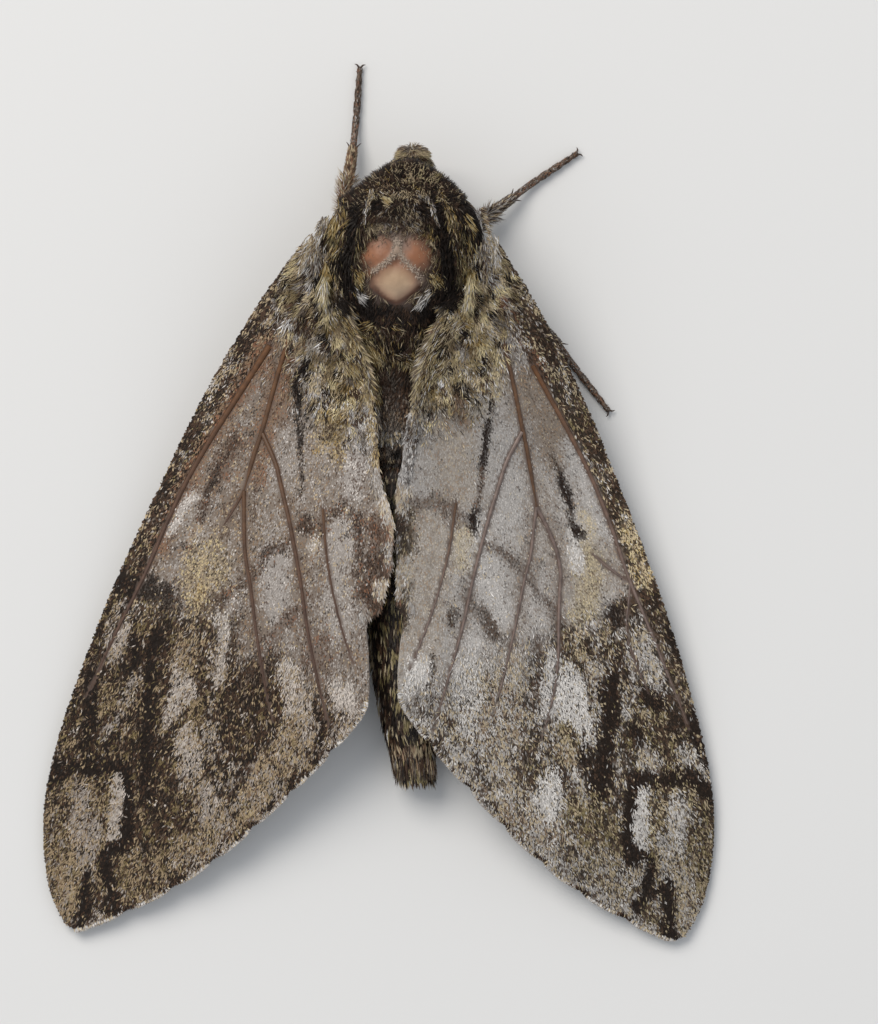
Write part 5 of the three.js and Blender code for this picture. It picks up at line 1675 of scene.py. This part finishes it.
PALP = [
    blend(brown=36, drab=30, grey=24, black=10),
    blend(brown=36, cream=24, drab=30, black=10),
    blend(cream=50, olive=22, brown=20, black=8),
]
for word, side in SIDES.items():
    limb_coat(f"palp_{word}_hair", short_hair, palp_path(side), palp_radius, 1200, 470 + side,
              lambda s: 0.45 + 0.1 * s, 0.085, 0.12, 0.25, 0.14, PALP, "body_hair", beside=(1, 0, 0),
              pull=(side * 0.25, -0.9, 0.0))

# The palps' crest: pale hair over both tips that fans back from their front edge as one rounded tuft.
random = np.random.default_rng(478)
n = 1500
x, y, z = (np.array(palp_path(LEFT)[-1]) + np.array(palp_path(RIGHT)[-1])) / 2
turn, out = random.uniform(-math.pi, math.pi, n), random.random(n) ** 0.5
dome = np.c_[0.12 + out * np.sin(turn) * 1.2, out * np.cos(turn) * 0.85 - 0.05,
             0.35 + 0.45 * np.sqrt(1 - out**2)]
dome[:, 2] -= ramp(out - 0.75) * random.uniform(0, 7, n)
at = dome + (x, y, z)
ahead = dome[:, :2] * (0.9, 0.5) + np.c_[np.zeros(n), 0.35 * out - 0.75] + random.normal(0, 0.2, (n, 2))
long = random.uniform(0.5, 0.95, n)
tips = dome[:, :2] + unit(ahead) * long[:, None]
long *= np.where(np.hypot((tips[:, 0] - 0.12) / 1.6, (tips[:, 1] + 0.15) / 1.1) > 1, 0.6, 1)
beside_middle = (np.abs(dome[:, 0] - 0.1) > 0.28) & (dome[:, 1] < 0.35)
mixed = np.where(beside_middle[:, None], blend(straw=34, cream=42, gold=10, brown=14),
                 blend(cream=30, drab=36, tan=16, brown=18))
coat("palp_crest", long_hair, hair_finish, "body_hair", at=at,
     along=unit(np.c_[ahead, random.uniform(-0.3, 0.2, n)]), up=unit(dome + (0, 0, 0.5)),
     size=measures(random.normal(0.07, 0.012, n), long, 0.16),
     tint=drawn(mixed, at[:, :2], 479, clump=0.2, together=0.5),
     root=body_place(np.full(n, 26.9), turn, True), root_shade=0.5)

# ---- Eyes ----------------------------------------------------------------------------------------
# Two large round compound eyes of thousands of tiny lenses, smooth and dark brown, set deep in the hair at
# the sides of the head under the collar's hood.


def two_tone(name, roughness, size, dark, light):
    """A material of two colours that change over about size millimetres."""
    made, tree, shader = material(name)
    place = node(tree, "ShaderNodeTexCoord").outputs["Object"]
    noise = node(tree, "ShaderNodeTexNoise", {"Vector": place, "Scale": 1 / (size * MM), "Detail": 2.0})
    shade = node(tree, "ShaderNodeMix", {"Factor": noise, "A": linear(dark), "B": linear(light)},
                 data_type="RGBA")
    tree.links.new(shade.outputs["Result"], shader.inputs["Base Color"])
    shader.inputs["Roughness"].default_value = roughness
    return made, tree, shader, place


# Eye: clear hard lenses over dark pigment, so it is glossy with a fine grain, drawn coarser than life.
eye_lens, tree, shader, place = two_tone("compound eye lenses", 0.16, 0.9, "#15100d", "#3c281c")
lenses = node(tree, "ShaderNodeTexVoronoi", {"Vector": place, "Scale": 1 / (0.07 * MM)})
bump = node(tree, "ShaderNodeBump", {"Height": lenses, "Strength": 0.35, "Distance": -0.02 * MM})
tree.links.new(bump.outputs["Normal"], shader.inputs["Normal"])
shader.inputs["Coat Weight"].default_value = 0.4
shader.inputs["Coat Roughness"].default_value = 0.08

for word in SIDES:
    low, high = (np.array(corner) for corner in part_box(f"eye_{word}"))
    ball = bmesh.new()
    bmesh.ops.create_icosphere(ball, subdivisions=5, radius=1.0)
    for vertex in ball.verts:
        inward = np.array([-0.12 * np.sign((low + high)[0] / 2 / MM - SHIFT[0] - 0.7), -0.14, 0])
        vertex.co = (low + high) / 2 + (inward + np.array(vertex.co) * 0.84) * (high - low) / 2
    mesh = bpy.data.meshes.new(f"eye_{word}_ball")
    ball.to_mesh(mesh)
    ball.free()
    mesh.shade_smooth()
    mesh.materials.append(eye_lens)
    eye = bpy.data.objects.new(f"eye_{word}_ball", mesh)
    bpy.context.scene.collection.objects.link(eye)
    belongs(eye, "eyes", f"eye_{word}")

# ---- Feelers -------------------------------------------------------------------------------------
# Thick whip-like antennae of about sixty short rings, swept back beside the thorax under the front wings.
# White scales clad them above, and they taper to a thin hook.

FEELER = [(1.0, 25.2, 7.2), (2.2, 24.9, 6.4), (3.5, 23.7, 5.5), (5.4, 22.1, 4.3), (6.5, 19, 4.3),
          (7, 15, 4.7), (6.9, 10.5, 4.7), (6.4, 6.2, 4.6)]
FEELER_RINGS = 60
FEELER_SIDES = 14
FEELER_SCALES = [blend(black=50, brown=42, drab=8), blend(brown=40, drab=30, grey=30)] + 5 * [
    blend(silver=40, grey=24, drab=20, brown=10, white=6)]
feeler_girth = through([(0, 0.3), (0.3, 0.34), (0.65, 0.42), (0.9, 0.28), (1, 0.1)])


def feeler_radius(share):
    """The radius of the rings at each share of the length."""
    return feeler_girth(share) * (1 + 0.07 * np.cos(share * FEELER_RINGS * 2 * math.pi))


# Antenna shell: dark brown chitin rings under a coat of flat scales.
feeler_shell, _ = tinted("ringed antenna shell", 0.55, "ShaderNodeTexNoise", size=0.12, strength=0.4,
                         depth=0.03, Detail=3.0)

for word, side in SIDES.items():
    path = [(0.83 * (1 if y > 20 else 0.3) + side * out, y, z) for out, y, z in FEELER]
    points, faces = limb(path, feeler_radius, sides=FEELER_SIDES, steps=40)
    feeler = solid(f"antenna_{word}_shell", points, faces, feeler_shell)
    line, share = smooth_line(path, 40)
    share, height = np.repeat(share, FEELER_SIDES)[:, None], np.repeat(line[:, 2:], FEELER_SIDES, axis=0)
    above = ramp(0.5 + (points[:-2, 2:] - height) / 0.3) * ramp((share - 0.2) / 0.15)
    rings = 0.75 + 0.25 * np.cos(share * FEELER_RINGS * 2 * math.pi)
    shade = over(rgb("#4a382c"), rgb("#a39a90"), above) * rings
    paint_points(feeler, np.concatenate([shade, shade[:1], shade[-1:]]))
    belongs(feeler, "legs_and_feelers", f"antenna_{word}")
    limb_coat(f"antenna_{word}_scales", scale_shape, path, feeler_girth, 3800, 480 + side,
              lambda s: 0.3 - 0.12 * s, 0.12, 0.06, 0.2, 0.05, FEELER_SCALES, span=(0.0, 0.93))

# ---- Legs ----------------------------------------------------------------------------------------
# Six jointed legs of hollow chitin: a stout thigh, a shin with spurs at its end, and a foot of five
# pieces that ends in two claws. Shaggy hair clads the thighs, and flat scales the feet.

# Each leg's joints: hip, knee, ankle, heel and toe.
LEGS = {
    "foreleg_left": [(-2, 19, 3.2), (-4.7, 23.0, 2.65), (-4.0, 27.7, 1.35), (-3.75, 30, 0.62),
                     (-3.4, 34.75, 0.36)],
    "foreleg_right": [(2.6, 18.8, 3.2), (6.05, 21.2, 2.75), (9.3, 23.6, 1.35), (11, 24.9, 0.62),
                      (14.9, 27.5, 0.36)],
    "midleg_left": [(-3, 16, 3.4), (-8.35, 15.5, 3.25), (-11.9, 10.6, 1.3), (-12.9, 8.2, 0.62),
                    (-14.4, 4.3, 0.36)],
    "midleg_right": [(3, 16, 3.4), (8.8, 15.8, 3.25), (13.15, 11.5, 1.3), (14.5, 9.7, 0.62),
                     (17.55, 5.8, 0.36)],
    "hindleg_left": [(-3, 13, 3.4), (-6.9, 8.4, 3.05), (-8.95, 0.4, 1.3), (-9.3, -2.4, 0.62),
                     (-9.85, -9.1, 0.36)],
    "hindleg_right": [(2.4, 13, 3.4), (6.5, 8.4, 3.05), (8.55, 0.4, 1.3), (8.9, -2.4, 0.62),
                      (9.35, -9.1, 0.36)],
}
LEG_SIDES, LEG_STEPS = 16, 22
FOOT_JOINTS = (0.42, 0.6, 0.75, 0.88)  # shares of the foot's length
THIGH = blend(brown=34, drab=20, grey=14, black=14, cream=18)
SHIN = blend(brown=34, drab=26, black=16, grey=12, cream=12)
FOOT = blend(brown=34, drab=28, rust=18, black=12, grey=8)
PEACH = blend(tan=32, cream=22, rust=22, brown=24)

# Claw: hard dark horn-like chitin, smooth and pointed.
claw_horn, *_ = two_tone("dark claw chitin", 0.35, 0.15, "#1c1512", "#4a362a")

for count, (name, joints) in enumerate(LEGS.items()):
    hip, knee, ankle, heel, toe = (np.array(joint) for joint in joints)
    path = [hip, (hip + knee) / 2, knee, (knee + ankle) / 2, ankle, heel, toe]
    runs = np.r_[0, np.cumsum(norm(np.diff(path, axis=0)))]
    runs /= runs[-1]
    at_knee, at_ankle = runs[2], runs[4]
    foot_joints = at_ankle + (1 - at_ankle) * np.array(FOOT_JOINTS)
    thigh_end, shin_end = at_knee - 0.02, at_ankle - 0.015
    girth = through([(0, 0.5), (runs[1], 0.52), (thigh_end - 0.04, 0.36), (at_knee + 0.04, 0.28),
                     (runs[3], 0.36), (shin_end - 0.03, 0.3), (at_ankle + 0.02, 0.26),
                     (foot_joints[1], 0.28), (1, 0.19)])
    pinches = np.array([at_knee, at_ankle, *foot_joints])

    def leg_radius(share):
        """The leg's radius at each share of its length, drawn in at each joint."""
        pinch = np.exp(-(((share[:, None] - pinches) / 0.012) ** 2)).max(1)
        return girth(share) * (1 - 0.3 * pinch)

    points, faces = limb(path, leg_radius, sides=LEG_SIDES, steps=LEG_STEPS)
    points[:, 2] = np.maximum(points[:, 2], 0.03)
    leg = solid(f"{name}_skin", points, faces, body_shell)
    share = np.repeat(smooth_line(path, LEG_STEPS)[1], LEG_SIDES)
    pinch = np.exp(-(((share[:, None] - pinches) / 0.014) ** 2)).max(1)[:, None]
    grain = clouds(points[:-2], 0.25, 90 + count)[:, None]
    shade = rgb("#3b2e26") * (0.7 + 0.6 * grain) * (1 - pinch) + rgb("#6d5643") * pinch
    paint_points(leg, np.concatenate([shade, shade[:1], shade[-1:]]))
    belongs(leg, "legs_and_feelers", f"{name}_femur", f"{name}_tibia", f"{name}_tarsus")
    # hair, longest at the knee and on the thigh, and flat scales on the foot
    rosy = name == "foreleg_left"
    limb_coat(f"{name}_thigh_hair", short_hair, path, leg_radius, 800, 600 + count, level(0.85), 0.12, 0.12,
              0.25, 0.16, THIGH, span=(0.03, at_knee))
    if name.startswith("fore"):
        limb_coat(f"{name}_knee_hair", short_hair, path, leg_radius, 520, 610 + count, level(1.05), 0.085,
                  0.7, 0.6, 0.2, PEACH * 0.5 + BLUSH * 0.5 if rosy else SMOKE,
                  span=(at_knee - 0.1, at_knee + 0.14), pull=(0, -0.3, 0.2))
    limb_coat(f"{name}_shin_hair", scale_shape, path, leg_radius, 1700, 620 + count, level(0.5), 0.09, 0.18,
              0.25, 0.12, PEACH if rosy else SHIN, span=(at_knee, at_ankle), floor=0.05)
    limb_coat(f"{name}_foot_scales", scale_shape, path, leg_radius, 1800, 640 + count, level(0.27), 0.1,
              0.08, 0.2, 0.05, FOOT, span=(at_ankle, 0.985), floor=0.03)
    # claws at the toe, spurs at the ankle and short spines under the foot
    line, share = smooth_line(path, 6)
    line_at = through(np.c_[share, line])
    ahead, out = unit(toe - heel), unit(ankle - knee)
    beside = unit(np.cross(ahead, (0, 0, 1)))
    tapers, spine_tapers = through([(0, 0.09), (0.5, 0.07), (1, 0.02)]), through([(0, 0.035), (1, 0.012)])
    thorns = []
    for turn in (beside, -beside):
        claw = [toe - ahead * 0.05 + turn * 0.08, toe + ahead * 0.16 + turn * 0.24 + (0, 0, 0.06),
                toe + ahead * 0.23 + turn * 0.46 - (0, 0, 0.08)]
        spur = [ankle + turn * 0.12, ankle + out * 0.35 + turn * 0.34 - (0, 0, 0.1),
                ankle + out * 0.7 + turn * 0.62 - (0, 0, 0.22)]
        thorns += [limb(thorn, tapers, sides=8, steps=4) for thorn in (claw, spur)]
        for base in line_at(np.linspace(at_ankle + 0.03, 0.97, 9)):
            spine = [base + turn * 0.14 - (0, 0, 0.02), base + turn * 0.3 + ahead * 0.14 - (0, 0, 0.08)]
            thorns.append(limb(spine, spine_tapers, sides=6, steps=2))
    points, faces = joined(thorns)
    points[:, 2] = np.maximum(points[:, 2], 0.02)
    belongs(solid(f"{name}_claws", points, faces, claw_horn), "legs_and_feelers")

# ---- Hair on the wings' roots and inner edges ----------------------------------------------------
# Soft hair covers each hinge, and a fringe along the inner edge, pale and brown by turns, meets the
# other wing's over the abdomen.

for word, side in SIDES.items():
    random = np.random.default_rng(700 + side)
    n = 5000
    a, c = random.uniform(WING_ROOT + 0.1, 12.5, n * 5), random.uniform(-3.4, 11, n * 5)
    kept = (c > costa_at(a) + 0.3) & (c < inner_edge(side, a) - 0.15)
    kept &= random.random(len(a)) < hairy(a, c)
    a, c = a[kept][:n], c[kept][:n]
    n = len(a)
    length = np.clip(1.05 - 0.045 * a, 0.55, 1.05) * random.uniform(0.6, 1.2, n)
    locks = clouds(np.c_[a, c], 0.9, 33 + side) - 0.5
    mixed = over(wing_shares(side, a + 0.4, c), blend(cream=40, straw=26, white=18, brown=6, black=10), 0.5)
    mottle = clouds(np.c_[a / 1.6, c], 0.62, 77 + side)[:, None]
    bright = (0.3 + 1.5 * mottle**2 * (3 - 2 * mottle)) ** (0.9, 1.0, 1.15) * (1.04, 1.0, 0.95)
    hair = wing_roots(side, a, c, random.normal(0.1, 0.07, n), locks * 1.6 + random.normal(0, 0.32, n),
                      length, random.normal(0.072, 0.013, n), 0.16 * length**0.5,
                      drawn(mixed, np.c_[a, c], 720 + side, clump=0.55, together=0.78) * bright)
    hair["at"] += hair["up"] * 0.06
    coat(f"forewing_{word}_root_hair", short_hair, hair_finish, "wing_scales", root_shade=0.5, **hair)

    n = 6000
    a = np.where(random.random(n) < 0.4, random.uniform(-0.5, 8, n), random.uniform(8, 25.2, n))
    near_root = ramp((9 - a) / 3)
    depth = random.uniform(0.05, 1.0, n)
    c = inner_edge(side, a) - depth
    along, across, up = wing_axes(side, a, c)
    lie = 0.5 + 0.35 * near_root + random.normal(0, 0.2, n)
    lie += 0.5 * (clouds(np.c_[a, c], 0.9, 51 + side) - 0.5)
    reach = (0.62 + 0.75 * near_root) * random.uniform(0.7, 1.2, n)
    rising = random.normal(0.02, 0.06, n) + 0.12 * near_root
    heading = along * np.cos(lie)[:, None] + across * np.sin(lie)[:, None] - up * rising[:, None]
    mixed = wing_shares(side, a + 0.3, np.minimum(c, inner_edge(side, a + 0.3)))
    mixed = over(mixed, GOLD * 0.5 + HAY * 0.5, (0.6 * near_root)[:, None])
    coat(f"forewing_{word}_inner_fringe", scale_shape, hair_finish, "wing_scales",
         at=on_wing(side, a, c, membrane_lift(side, a, c) + 0.03 + 0.12 * near_root), along=unit(heading),
         up=up, size=measures(random.normal(0.12, 0.02, n), reach, 0.09),
         tint=drawn(mixed, np.c_[a, c], 730 + side, together=0.4, even=0.35), root=wing_place(a, c))

# ---- Tail brush ----------------------------------------------------------------------------------
# A short blunt brush of stiff brown hair closes the abdomen; each hair is painted darker at its root, as
# shade, so the brush is paler at the tips.

random = np.random.default_rng(760)
n = 1900
y, angle = random.uniform(-24.4, -22.9, n), random.uniform(-math.pi, math.pi, n)
deep = random.random(n) ** 0.7
middle, wide, centre, high = trunk_at(y).T
depth = 0.3 + (1 - deep) * np.minimum(wide, high) * ramp((-23.4 - y)) * 0.8
at = on_barrel(trunk_at, y, angle, depth)
end = on_barrel(trunk_at, np.full(n, -25.3), angle, 0.12 + (1 - deep) * 1.0)
heading = end + random.normal(0, 0.12, (n, 3)) * np.array([1, 0, 1]) - at
length = norm(heading) * random.uniform(0.82, 0.99, n)
up = unit(on_barrel(trunk_at, y, angle, depth - 0.1) - at)
coat("tail_brush_hair", short_hair, hair_finish, "body_hair", at=at, along=unit(heading), up=up,
     size=measures(random.normal(0.13, 0.02, n), length, 0.1),
     tint=drawn(level(blend(brown=50, tan=20, drab=14, black=10, cream=6))(y), np.c_[y, angle], 770),
     root=body_place(y, angle))
